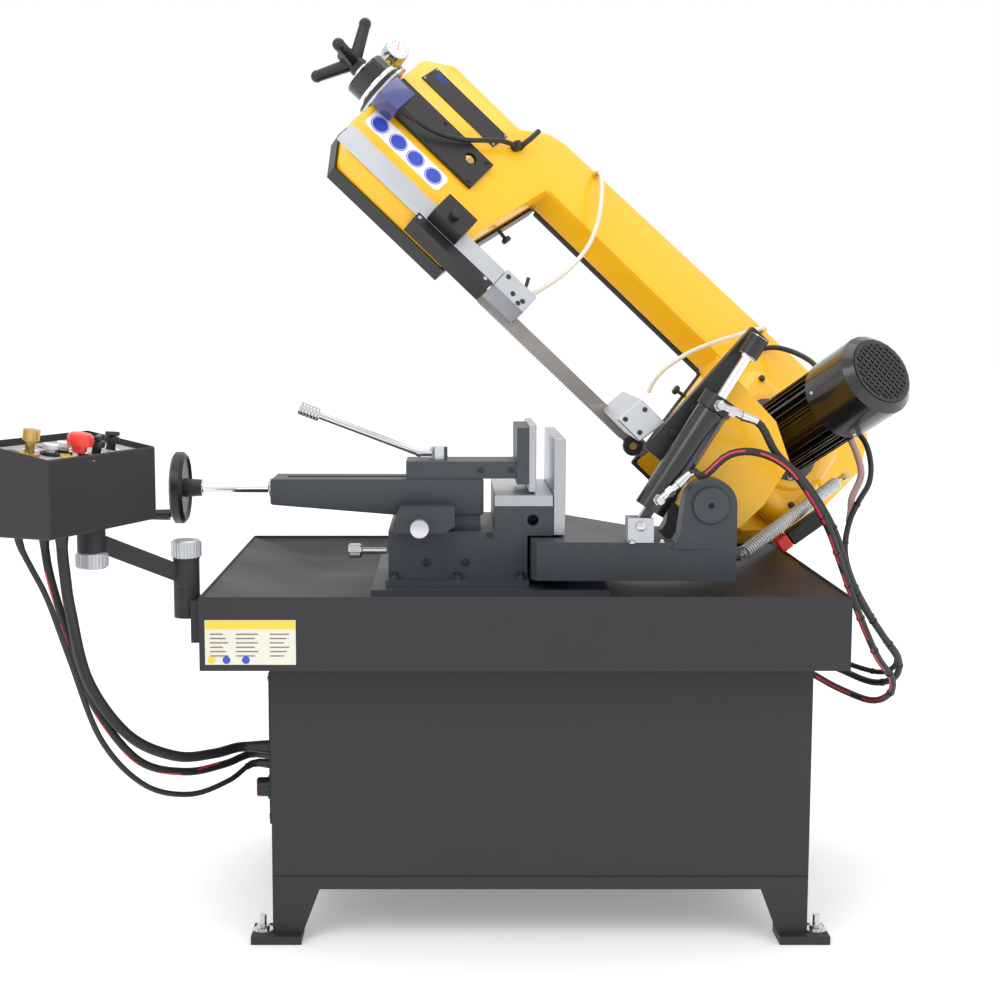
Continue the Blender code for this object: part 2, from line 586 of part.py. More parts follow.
def build_rear_cover():
    """Flat lid over the beam and drive wheel, and the pan that laps over the idler wheel's end."""
    beam_cover = [
        (-0.538, 0.2575), (-0.0965, 0.2575), (-0.0965, -0.022), (0.133, -0.022), (0.174, 0.028),
        (0.231, 0.098), (0.266, 0.310), (0.241, 0.399), (0.182, 0.416), (-0.140, 0.404),
        (-0.538, 0.391)]
    cover = part("rear_cover", plate_mesh(beam_cover, BACK + GAP, BACK + 0.009), "black", HEAD)
    bevel(cover, 0.003)
    clear, wall, depth = 0.0015, 0.0025, BACK + 0.016
    pan = part("idler_cover", plate_mesh(idler_outline(clear + wall), 0.002, depth), "black", HEAD)
    frame_room = plate_mesh(idler_outline(clear), -0.05, BACK + 0.0015)
    inner = plate_mesh(idler_outline(clear - 0.004), 0.0, depth - wall)
    beam_room = box_mesh((-0.566, -0.05, 0.2540), (-0.500, BACK + GAP, 0.420))
    blade_room = box_mesh((-0.640, -0.03, -0.015), (-0.560, 0.018, 0.017))
    tension_room = box_mesh((-0.950, -0.05, TENSION_Z - 0.060), (-0.880, 0.0225, TENSION_Z + 0.060))
    cut(pan, cutter("idler_frame_room", frame_room, HEAD), cutter("idler_cover_inside", inner, HEAD),
        cutter("idler_beam_room", beam_room, HEAD), cutter("idler_blade_room", blade_room, HEAD),
        cutter("idler_tension_room", tension_room, HEAD))


def idler_outline(grow):
    """Outline of the idler wheel's end of the frame, let out by this much all round."""
    low, left, top = -0.018 - grow, -0.886 - grow, 0.328 + grow
    return [(-0.850 - grow * 0.5, low), (-0.588 + grow, low), (-0.580 + grow, 0.075),
            (-0.5435 + grow * 0.3, 0.258), (-0.5435 + grow * 0.3, 0.3875 + grow),
            (-0.586, 0.3865 + grow), (-0.625 - grow * 0.3, 0.376 + grow), (-0.674, top + 0.003),
            (-0.837 - grow * 0.3, top), (left, 0.283), (left, 0.040)]


def build_wheel(name, x, driven):
    """Band wheel with rim and web: a bored hub, or a hub on the gearbox's output shaft."""
    half, radius = WHEEL_HALF_WIDTH, WHEEL_RADIUS - 3 * GAP
    bore = 0.0 if driven else 0.0125
    hub = ([(0.0145, -0.020), (0.0145, -0.0465), (0.0, -0.0465)] if driven
           else [(bore, -0.020), (bore, 0.018)])
    turned(name, [
        (bore, 0.018), (0.027, 0.018), (0.027, 0.004), (radius - 0.012, 0.004),
        (radius - 0.012, half), (radius, half), (radius, -half), (radius - 0.012, -half),
        (radius - 0.012, -0.004), (0.027, -0.004), (0.027, -0.020), *hub],
        "casting", HEAD, (x, 0.0, WHEEL_RADIUS), (0, 1, 0), 28)


def blade_twist(x):
    """How far the blade is turned about its own length at x: upright between the guides."""
    upright = math.pi / 2 - CANT
    if x < GUIDE_LEFT:
        share = (x - IDLER_X) / (GUIDE_LEFT - IDLER_X)
    elif x > GUIDE_RIGHT:
        share = (DRIVE_X - x) / (DRIVE_X - GUIDE_RIGHT)
    else:
        share = 1.0
    share = min(1.0, max(0.0, share))
    return upright * share * share * (3 - 2 * share)


def build_blade():
    """The endless blade: flat on both wheels, twisted upright between its guides."""
    middle = WHEEL_RADIUS + BLADE_THICK / 2
    stations = []
    for i in range(40):
        x = IDLER_X + (DRIVE_X - IDLER_X) * i / 40
        stations.append((Vector((x, 0, WHEEL_RADIUS - middle)), Vector((0, 0, -1)), blade_twist(x)))
    for i in range(20):
        angle = -math.pi / 2 + math.pi * i / 20
        out = Vector((math.cos(angle), 0, math.sin(angle)))
        stations.append((Vector((DRIVE_X, 0, WHEEL_RADIUS)) + middle * out, out, 0.0))
    for i in range(4):
        x = DRIVE_X + (IDLER_X - DRIVE_X) * i / 4
        stations.append((Vector((x, 0, WHEEL_RADIUS + middle)), Vector((0, 0, 1)), 0.0))
    for i in range(20):
        angle = math.pi / 2 + math.pi * i / 20
        out = Vector((math.cos(angle), 0, math.sin(angle)))
        stations.append((Vector((IDLER_X, 0, WHEEL_RADIUS)) + middle * out, out, 0.0))
    bm = bmesh.new()
    rings = []
    for place, out, twist in stations:
        across = Vector((0, 1, 0))
        turn = Matrix.Rotation(-twist, 3, "X")
        across, out = turn @ across, turn @ out
        rings.append([bm.verts.new(place + side * BLADE_HALF_WIDTH * across + face * BLADE_THICK / 2 * out)
                      for side, face in ((-1, -1), (1, -1), (1, 1), (-1, 1))])
    for i, ring in enumerate(rings):
        following = rings[(i + 1) % len(rings)]
        for k in range(4):
            bm.faces.new((ring[k], ring[(k + 1) % 4], following[(k + 1) % 4], following[k]))
    part("saw_blade", mesh_from(bm, "saw_blade"), "blade_steel", HEAD)


def to_machine(x, y, z):
    """A point of the head's own axes, in the machine's axes."""
    turn = Matrix.Rotation(RAISE, 3, "Y") @ Matrix.Rotation(-CANT, 3, "X")
    return Vector(HEAD_ORIGIN) + turn @ Vector((x, y, z))


MOTOR_CABLE_EXIT = to_machine(DRIVE_X + 0.0412, -0.195, 0.215)


def build_gearbox():
    """Cast gearbox on the frame's front, with the knuckle that reaches the hinge."""
    gearbox = part("gearbox_housing", box_mesh((-0.050, -0.108, 0.020), (0.195, FRONT - GAP, 0.262)),
                   "yellow", HEAD)
    bevel(gearbox, 0.030, 3)
    knuckle = [(0.276, 0.690), *arc(PIVOT, 0.038, 200, 290, 6), (0.372, 0.652), (0.412, 0.690),
               (0.455, 0.760), (0.430, 0.830), (0.360, 0.905), (0.318, 0.890)]
    plate = cutter("knuckle_plate", plate_mesh(knuckle, -0.120, -0.055), MACHINE)
    block = [(0.372, 0.700), (0.412, 0.700), (0.452, 0.762), (0.420, 0.825), (0.372, 0.800)]
    bridge = cutter("knuckle_bridge", plate_mesh(block, -0.110, 0.200), MACHINE)
    join(gearbox, plate, bridge)
    hinge = rod_mesh((PIVOT[0], -0.3, PIVOT[1]), (PIVOT[0], 0.0, PIVOT[1]), PIN_RADIUS + 0.0004)
    behind = box_mesh((-0.4, FRONT - GAP, -0.3), (0.5, 0.4, 0.6))
    motor = rod_mesh((DRIVE_X, -0.1080, WHEEL_RADIUS), (DRIVE_X, -0.5, WHEEL_RADIUS), 0.0865)
    cut(gearbox, cutter("knuckle_bore", hinge, MACHINE), cutter("gearbox_back", behind, HEAD),
        cutter("motor_room", motor, HEAD))
    post = rod_mesh((0.209, -0.139, 0.177), (0.209, FRONT - GAP, 0.177), 0.006, sides=12)
    lug = rod_mesh((0.185, -0.060, 0.177), (0.209, -0.060, 0.177), 0.010, sides=12)
    join(gearbox, cutter("spring_post_lug", lug, HEAD), cutter("spring_post", post, HEAD))


def build_motor():
    """Flanged motor: finned body with its terminal box, and the slotted fan cowl."""
    flange_y, body_end, cowl_end = -0.1083, -0.300, -0.400
    body = turned("motor_body", [
        (0.0, flange_y - body_end), (0.057, flange_y - body_end), (0.057, 0.022), (0.066, 0.018),
        (0.084, 0.010), (0.084, 0.0), (0.0, 0.0)],
        "black", HEAD, (DRIVE_X, flange_y, WHEEL_RADIUS), (0, -1, 0), 24)
    fins = 12
    for i in range(fins // 2):
        angle = math.pi * i / (fins // 2)
        fin = box_mesh((-0.068, flange_y - 0.024, -0.0016), (0.068, body_end + 0.014, 0.0016))
        blade = cutter(f"motor_fin_{i}", fin, HEAD)
        blade.location = (DRIVE_X, 0.0, WHEEL_RADIUS)
        blade.rotation_euler = (0.0, angle, 0.0)
        join(body, blade)
    cowl = turned("motor_cowl", [
        (0.0, 0.112), (0.060, 0.112), (0.073, 0.098), (0.073, 0.0), (0.0705, 0.0),
        (0.0705, 0.097), (0.059, 0.1095), (0.0, 0.1095)],
        "black", HEAD, (DRIVE_X, body_end + 0.0125, WHEEL_RADIUS), (0, -1, 0), 24)
    for i in range(4):
        height = -0.030 + 0.020 * i
        width = math.sqrt(0.046 ** 2 - height ** 2)
        slot = box_mesh((DRIVE_X - width, cowl_end - 0.02, WHEEL_RADIUS + height - 0.004),
                        (DRIVE_X + width, cowl_end + 0.02, WHEEL_RADIUS + height + 0.004))
        cut(cowl, cutter(f"cowl_slot_{i}", slot, HEAD))
    terminals = box_mesh((DRIVE_X - 0.040, -0.235, WHEEL_RADIUS + 0.045),
                         (DRIVE_X + 0.040, -0.150, WHEEL_RADIUS + 0.100))
    join(body, cutter("motor_terminals", terminals, HEAD))


def build_tensioner():
    """Blade tensioner: slide with the idler axle, spring housing, gauge, star handle and switch."""
    slide = part("tension_slide", box_mesh((-0.880, -0.057, 0.119), (-0.652, FRONT - GAP, 0.200)),
                 "black", HEAD)
    bevel(slide, 0.0015)
    axle = rod_mesh((IDLER_X, -0.056, WHEEL_RADIUS), (IDLER_X, 0.0195, WHEEL_RADIUS), 0.0122, sides=20)
    window = rod_mesh((-0.690, -0.1, 0.170), (-0.690, 0.0, 0.170), 0.0125, sides=20)
    join(slide, cutter("idler_axle", axle, HEAD))
    cut(slide, cutter("slide_window", window, HEAD))
    housing = turned("tension_housing", [
        (0.0, 0.062), (0.012, 0.062), (0.012, 0.054), (0.040, 0.054), (0.043, 0.050), (0.043, 0.010),
        (0.056, 0.010), (0.056, 0.0), (0.0, 0.0)],
        "black", HEAD, (-0.8863 - GAP, TENSION_Y, TENSION_Z), (-1, 0, 0), 20)
    stem = rod_mesh((-0.922, TENSION_Y, TENSION_Z + 0.035), (-0.926, TENSION_Y, 0.2250), 0.0050, sides=12)
    join(housing, cutter("gauge_stem", stem, HEAD))
    turned("pressure_gauge", [(0.0, 0.024), (0.0225, 0.023), (0.0225, 0.0), (0.0, 0.0)],
           "black", HEAD, (-0.9285, TENSION_Y + 0.010, 0.2485), (0, -1, 0), 20)
    hub_x = -0.8866 - 0.0623
    handle = part("tension_handle", rod_mesh((hub_x, TENSION_Y, TENSION_Z),
                                             (hub_x - 0.034, TENSION_Y, TENSION_Z),
                                             0.018, 0.015, 16), "black", HEAD)
    for i in range(4):
        angle = math.radians(130) + math.pi / 2 * i
        out = Vector((0.0, math.cos(angle), math.sin(angle)))
        root = Vector((hub_x - 0.014, TENSION_Y, TENSION_Z))
        arm = rod_mesh(root, root + 0.066 * out + Vector((-0.034, 0, 0)), 0.0125, 0.0105, 10)
        join(handle, cutter(f"handle_arm_{i}", arm, HEAD))
    box("blade_switch", (-0.884, -0.098, 0.092), (-0.838, -0.0573, 0.150), "blue", HEAD, 0.003, 2)


def build_upper_guide():
    """Sliding guide arm, its clamp, the upper guide block, and the blade guard below it."""
    low, high = FRONT - 0.0133, FRONT - GAP
    box("guide_arm", (-0.878, low, -0.015), (-0.503, high, 0.026), "aluminium", HEAD, 0.001)
    guard = part("blade_guard", box_mesh((-0.6845, low, -0.037), (-0.505, -0.022, -0.0153)), "black", HEAD)
    inside = box_mesh((-0.75, low + 0.0030, -0.0345), (-0.45, 0.025, 0.0))
    cut(guard, cutter("guard_inside", inside, HEAD))
    clamp = part("guide_arm_clamp", box_mesh((-0.668, -0.092, -0.0148), (-0.600, high, 0.040)),
                 "black", HEAD)
    bevel(clamp, 0.0015)
    channel = box_mesh((-0.70, low - GAP, -0.05), (-0.55, high + 0.01, 0.0263))
    cut(clamp, cutter("clamp_channel", channel, HEAD))
    screw = rod_mesh((-0.634, -0.101, 0.005), (-0.634, -0.090, 0.005), 0.009, sides=16)
    join(clamp, cutter("guide_clamp_screw", screw, HEAD))
    block = part("upper_guide_block", box_mesh((-0.5027, -0.058, -0.012), (-0.430, 0.010, 0.036)),
                 "aluminium", HEAD)
    bevel(block, 0.0015)
    upright = math.pi / 2 - CANT
    way = box_mesh((-0.1, -0.0142, -0.0010), (0.1, 0.0600, 0.0010))
    blade_slot = cutter("upper_blade_slot", way, HEAD)
    blade_slot.location = (-0.467, 0.0, -BLADE_THICK / 2)
    blade_slot.rotation_euler = (-upright, 0.0, 0.0)
    relief = box_mesh((-0.52, -0.014, -0.030), (-0.400, 0.030, -0.0035))
    cut(block, blade_slot, cutter("upper_guide_relief", relief, HEAD))


def build_guide_bar():
    """Steel bar beside the knuckle: the lower guide bolts to it, the lift rod pulls on its pin."""
    lower, upper = Vector((0.223, 0, 0.778)), Vector((0.397, 0, 0.975))
    side = Vector((0.0135, 0, -0.0119))
    outline = [(p.x, p.z) for p in (lower - side, lower + side, upper + side, upper - side)]
    bar = part("lower_guide_bar", plate_mesh(outline, -0.146, -0.1205), "black", MACHINE)
    bevel(bar, 0.001)
    pin = rod_mesh((CYLINDER_HEAD[0], -0.1722, CYLINDER_HEAD[1]), (CYLINDER_HEAD[0], -0.140,
                                                                  CYLINDER_HEAD[1]), 0.009, sides=16)
    join(bar, cutter("rod_pin", pin, MACHINE))
    for index, share in enumerate((0.18, 0.38)):
        centre = lower.lerp(upper, share)
        head = rod_mesh((centre.x, -0.151, centre.z), (centre.x, -0.140, centre.z), 0.0065, sides=12)
        join(bar, cutter(f"bar_bolt_{index}", head, MACHINE))


def build_lower_guide():
    """Lower guide block on its bar, slotted for the blade."""
    outline = [(0.166, 0.834), (0.204, 0.796), (0.246, 0.828), (0.206, 0.868)]
    block = part("lower_guide_block", plate_mesh(outline, -0.1202, 0.168), "aluminium", MACHINE)
    bevel(block, 0.002)
    upright = math.pi / 2 - CANT
    way = box_mesh((-0.1, -0.0142, -0.0010), (0.1, 0.0800, 0.0010))
    blade_slot = cutter("lower_blade_slot", way, HEAD)
    blade_slot.location = (-0.140, 0.0, -BLADE_THICK / 2)
    blade_slot.rotation_euler = (-upright, 0.0, 0.0)
    relief = box_mesh((-0.125, -0.022, -0.060), (-0.09, 0.050, 0.020))
    cut(block, blade_slot, cutter("lower_guide_relief", relief, HEAD))


def build_chip_brush():
    """Round wire brush that cleans the teeth below the lower guide."""
    x, z = 0.2218, 0.7696
    turned("chip_brush", [(0.0, 0.008), (0.018, 0.007), (0.018, -0.007), (0.0, -0.008)], "black",
           MACHINE, (x, HEAD_ORIGIN[1] - 0.0102, z), (0, 1, 0), 16)


def build_spring():
    """Balance spring between the mitre arm's anchor and the head's post."""
    low = Vector((0.386, -0.030, 0.588))
    post = to_machine(0.209, -0.129, 0.177)
    along = (post - low).normalized()
    rod("balance_spring", low + 0.012 * along, post - 0.016 * along, 0.0115, "zinc", MACHINE, 12)


# ---------------------------------------------------------------- control station
def build_control_arm():
    """Bracket on the tray, jointed arm with two clamp knobs, and the box's post."""
    x, y = ARM_POST
    bracket = part("arm_bracket", rod_mesh((x, y, 0.536), (x, y, 0.5820), 0.0205, sides=20),
                   "charcoal", MACHINE)
    join(bracket, cutter("bracket_plate", box_mesh((x + 0.010, y - 0.030, 0.500),
                                                   (TRAY_X[0] - GAP, y + 0.030, 0.566)), MACHINE))
    arm = part("control_arm", rod_mesh((x, y, 0.5823), (x, y, 0.6300), 0.0205, sides=20),
               "charcoal", MACHINE)
    post = rod_mesh((*BOX_POST, 0.645), (*BOX_POST, 0.686), 0.0215, sides=20)
    start, end = Vector((x, y, 0.600)), Vector((*BOX_POST, 0.667))
    run = end - start
    level = Vector((run.x, run.y, 0.0)).normalized()
    across = Vector((-level.y, level.x, 0.0)) * 0.006
    bm = bmesh.new()
    corners = [[bm.verts.new(p + s * across + Vector((0, 0, h))) for s, h in
                ((-1, -0.015), (1, -0.015), (1, 0.015), (-1, 0.015))] for p in (start, end)]
    for k in range(4):
        bm.faces.new((corners[0][k], corners[0][(k + 1) % 4], corners[1][(k + 1) % 4], corners[1][k]))
    bm.faces.new(corners[0])
    bm.faces.new(corners[1])
    join(arm, cutter("box_post", post, MACHINE), cutter("arm_bar", mesh_from(bm, "bar"), MACHINE))
    upper_knob = rod_mesh((x, y, 0.628), (x, y, 0.6565), 0.0215, sides=20)
    lower_knob = rod_mesh((*BOX_POST, 0.625), (*BOX_POST, 0.648), 0.0225, sides=20)
    join(arm, cutter("upper_knob", upper_knob, MACHINE), cutter("lower_knob", lower_knob, MACHINE))


def build_control_box():
    """Control box in its own turned axes: shell, panel, buttons, switches and valve knob."""
    left, right, front, back, bottom = -0.073, 0.052, -0.170, 0.100, 0.690
    wall, lip = 0.0025, 0.010
    face = math.tan(PANEL_TILT)
    middle_x, middle_z = PANEL_MIDDLE
    right_top = middle_z - face * (right - middle_x) + lip
    left_top = middle_z + face * (middle_x - left) + lip
    outline = [(left, bottom), (right, bottom), (right, right_top), (left, left_top)]
    shell = part("control_box", plate_mesh(outline, front, back), "charcoal", CONTROL)
    bevel(shell, 0.002)
    inside = box_mesh((left + wall, front + wall, bottom + wall), (right - wall, back - wall, 0.95))
    boss = rod_mesh((0, 0, 0.6863), (0, 0, bottom + 0.0015), 0.019, sides=20)
    cut(shell, cutter("box_inside", inside, CONTROL))
    join(shell, cutter("box_boss", boss, CONTROL))
    panel_axes = empty("panel_axes", (middle_x, 0.0, middle_z), (0.0, PANEL_TILT, 0.0), CONTROL)
    half_x = (right - left) / 2 - wall - 2 * GAP
    edge = wall + GAP
    panel = part("control_panel", box_mesh((-half_x, front + edge, -0.003), (half_x, back - edge, 0.0)),
                 "panel", panel_axes)
    controls = (
        ("speed_valve_knob", -0.004, -0.125, 0.0115, 0.040, "brass"),
        ("start_button", 0.006, -0.090, 0.0115, 0.018, "white"),
        ("lamp_button", 0.004, -0.054, 0.0115, 0.018, "white"),
        ("emergency_stop", 0.036, -0.062, 0.0185, 0.036, "red"),
        ("selector_front", 0.036, -0.018, 0.0115, 0.024, "black"),
        ("selector_rear", 0.024, 0.036, 0.0115, 0.024, "black"),
    )
    for name, x, y, radius, height, kind in controls:
        neck = radius * 0.62
        turned(name, [
            (0.0, height), (radius, height - 0.002), (radius, height * 0.55), (neck, height * 0.50),
            (neck, -0.012), (0.0, -0.012)],
            kind, panel_axes, (x, y, 0.0), (0, 0, 1), 14)
        hole = rod_mesh((x, y, -0.05), (x, y, 0.05), neck + 0.0008, sides=14)
        cut(panel, cutter(name + "_hole", hole, panel_axes))


# ---------------------------------------------------------------- hoses and cables
def build_control_hoses():
    """Two hoses and a cable from under the control box to the cabinet's side panel."""
    wall = CABINET_X[0] - SIDE_PANEL - 0.0012
    box_bottom = 0.6888
    tube("control_conduit", [
        (-0.679, -0.450, box_bottom), (-0.679, -0.449, 0.660), (-0.677, -0.445, 0.625),
        (-0.673, -0.435, 0.571), (-0.657, -0.400, 0.455), (-0.611, -0.335, 0.354),
        (-0.551, -0.265, 0.302), (-0.500, -0.200, 0.288), (wall - 0.055, -0.155, 0.287),
        (wall, -0.155, 0.287)], 0.0085, "rubber", MACHINE)
    tube("control_hose", [
        (-0.708, -0.440, box_bottom), (-0.707, -0.438, 0.662), (-0.703, -0.432, 0.624),
        (-0.693, -0.418, 0.569), (-0.676, -0.386, 0.480), (-0.655, -0.350, 0.395),
        (-0.606, -0.286, 0.300), (-0.545, -0.216, 0.262), (-0.490, -0.150, 0.256),
        (wall - 0.045, -0.108, 0.262), (wall, -0.108, 0.262)], 0.0065, "rubber", MACHINE)
    tube("control_cable", [
        (-0.738, -0.470, box_bottom), (-0.734, -0.468, 0.668), (-0.722, -0.464, 0.640),
        (-0.700, -0.458, 0.590), (-0.674, -0.444, 0.500), (-0.640, -0.400, 0.365),
        (-0.590, -0.330, 0.274), (-0.530, -0.262, 0.238), (-0.475, -0.205, 0.244),
        (wall - 0.036, -0.166, 0.261), (wall, -0.166, 0.261)], 0.0045, "rubber", MACHINE)


def build_right_hoses():
    """The lift cylinder's two hoses and the motor's cable, looped down beside the tray."""
    foot = Vector((CYLINDER_FOOT[0], CYLINDER_Y, CYLINDER_FOOT[1]))
    head = Vector((CYLINDER_HEAD[0], CYLINDER_Y, CYLINDER_HEAD[1]))
    along = (head - foot).normalized()
    wall = CABINET_X[1] + 0.0012
    for name, distance, aim, route in (
        ("cylinder_hose_upper", 0.230, (0.9, 0.0, -0.42), [
            (0.408, -0.238, 0.786), (0.452, -0.225, 0.745), (0.490, -0.200, 0.698),
            (0.522, -0.170, 0.648), (0.550, -0.130, 0.590), (0.587, -0.080, 0.525),
            (0.648, -0.010, 0.448), (0.694, 0.050, 0.394), (0.703, 0.100, 0.348), (0.676, 0.150, 0.327),
            (0.620, 0.185, 0.345), (0.560, 0.200, 0.370), (wall + 0.036, 0.205, 0.382),
            (wall, 0.205, 0.384)]),
        ("cylinder_hose_lower", 0.052, (0.75, 0.0, 0.66), [
            (0.292, -0.244, 0.752), (0.330, -0.252, 0.786), (0.374, -0.256, 0.790),
            (0.420, -0.262, 0.768), (0.462, -0.246, 0.720), (0.500, -0.218, 0.660),
            (0.536, -0.165, 0.590), (0.580, -0.105, 0.505), (0.628, -0.050, 0.420),
            (0.672, 0.010, 0.366), (0.684, 0.065, 0.325), (0.664, 0.115, 0.301), (0.610, 0.150, 0.317),
            (0.555, 0.165, 0.345), (wall + 0.036, 0.170, 0.356), (wall, 0.170, 0.358)]),
    ):
        start = foot + along * distance + Vector((0.0, -CYLINDER_RADIUS - 0.014, 0.0))
        direction = Vector(aim).normalized()
        points = [start + direction * 0.0375, start + direction * 0.070, *route]
        tube(name, points, 0.0062, "rubber", MACHINE)
    tube("motor_cable", [
        MOTOR_CABLE_EXIT, to_machine(0.140, -0.195, 0.215), (0.639, 0.118, 0.780),
        (0.642, 0.082, 0.745), (0.629, 0.038, 0.712), (0.601, 0.000, 0.682), (0.577, -0.034, 0.648),
        (0.566, -0.058, 0.602), (0.582, -0.056, 0.550), (0.620, -0.016, 0.492), (0.670, 0.044, 0.425),
        (0.706, 0.100, 0.378), (0.692, 0.150, 0.346), (0.640, 0.200, 0.352), (0.575, 0.232, 0.378),
        (wall + 0.036, 0.240, 0.392), (wall, 0.240, 0.394)], 0.0050, "rubber", MACHINE)


def build_coolant_tubes():
    """Clear coolant tubes from the beam to each blade guide."""
    tube("coolant_tube_upper", [
        (-0.502, FRONT - 0.0105, 0.378), (-0.494, FRONT - 0.024, 0.362), (-0.470, -0.080, 0.318),
        (-0.441, -0.086, 0.253), (-0.424, -0.085, 0.190), (-0.421, -0.072, 0.135),
        (-0.426, -0.056, 0.098), (-0.434, -0.040, 0.070), (-0.440, -0.030, 0.048)],
        0.0042, "hose_clear", HEAD)
    tube("coolant_tube_lower", [
        (-0.062, FRONT - 0.0105, 0.389), (-0.070, FRONT - 0.024, 0.368), (-0.092, -0.076, 0.320),
        (-0.127, -0.086, 0.240), (-0.153, -0.084, 0.176), (-0.167, -0.070, 0.125),
        (-0.168, -0.052, 0.096), (-0.160, -0.036, 0.076)],
        0.0042, "hose_clear", HEAD)


def build_all():
    """Builds every part."""
    for step in (
        build_cabinet, build_tray, build_main_switch,
        build_vise_base, build_vise_beam, build_moving_jaw, build_vise_screw, build_mitre_lock,
        build_mitre_arm, build_lift_cylinder, build_head_frame, build_rear_cover, build_blade,
        build_gearbox, build_motor, build_tensioner, build_upper_guide,
        build_guide_bar, build_lower_guide, build_chip_brush, build_spring, build_control_arm, build_control_box,
        build_control_hoses, build_right_hoses, build_coolant_tubes,
    ):
        step()
    build_wheel("drive_wheel", DRIVE_X, True)
    build_wheel("idler_wheel", IDLER_X, False)


build_all()
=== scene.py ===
"""Looks for the swivel band saw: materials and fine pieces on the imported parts, lights and camera."""
import math

import bmesh
import bpy
from mathutils import Matrix, Vector


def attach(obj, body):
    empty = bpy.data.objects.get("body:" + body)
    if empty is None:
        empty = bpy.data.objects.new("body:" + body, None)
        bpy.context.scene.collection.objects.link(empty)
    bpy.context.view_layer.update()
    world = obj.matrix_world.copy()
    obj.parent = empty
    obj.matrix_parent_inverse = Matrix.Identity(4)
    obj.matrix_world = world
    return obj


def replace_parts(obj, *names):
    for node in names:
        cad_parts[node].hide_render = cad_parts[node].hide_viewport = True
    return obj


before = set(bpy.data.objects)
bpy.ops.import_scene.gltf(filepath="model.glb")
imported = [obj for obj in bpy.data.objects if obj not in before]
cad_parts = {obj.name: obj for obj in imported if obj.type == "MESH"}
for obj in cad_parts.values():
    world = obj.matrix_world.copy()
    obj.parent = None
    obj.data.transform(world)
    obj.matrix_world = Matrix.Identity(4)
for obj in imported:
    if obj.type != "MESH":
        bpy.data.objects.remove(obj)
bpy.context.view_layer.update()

# ---------------------------------------------------------------- places, as in the model
MACHINE = Matrix.Translation((0.03844, 0.05675, 0.0))
RAISE, CANT = math.radians(43.5), math.radians(-40.0)
HEAD = (MACHINE @ Matrix.Translation((0.3126, 0.145, 0.6955))
        @ Matrix.Rotation(RAISE, 4, "Y") @ Matrix.Rotation(CANT, 4, "X"))
CONTROL = (MACHINE @ Matrix.Translation((-0.654, -0.370, 0.0))
           @ Matrix.Rotation(math.radians(-22.6), 4, "Z"))
PANEL = (CONTROL @ Matrix.Translation((-0.0105, 0.0, 0.8040))
         @ Matrix.Rotation(math.radians(10.0), 4, "Y"))
FRONT = -0.047                      # the head frame's front face in the head's axes
WHEEL_RADIUS, DRIVE_X = 0.142, 0.071
CYLINDER_FOOT = Vector((0.197, -0.190, 0.667))
CYLINDER_HEAD = Vector((0.377, -0.190, 0.955))
CYLINDER_AXIS = (CYLINDER_HEAD - CYLINDER_FOOT).normalized()
CYLINDER_RADIUS = 0.0265
# each port: its place along the cylinder, and where its hose points
PORTS = {"upper": (0.230, (0.9, 0.0, -0.42)), "lower": (0.052, (0.75, 0.0, 0.66))}
VISE_SCREW = (-0.575, -0.083, 0.716)
HINGE_FACE = (0.309, -0.2132, 0.701)
TENSIONER_Y, TENSIONER_Z = -0.035, 0.160
BLADE_TWIST = 50.0                  # degrees that the guides turn the blade from flat
HALF_BLADE, TOOTHED_LENGTH = 0.0134, 0.3600
BRUSH = Vector((0.2218, 0.1348, 0.7696))


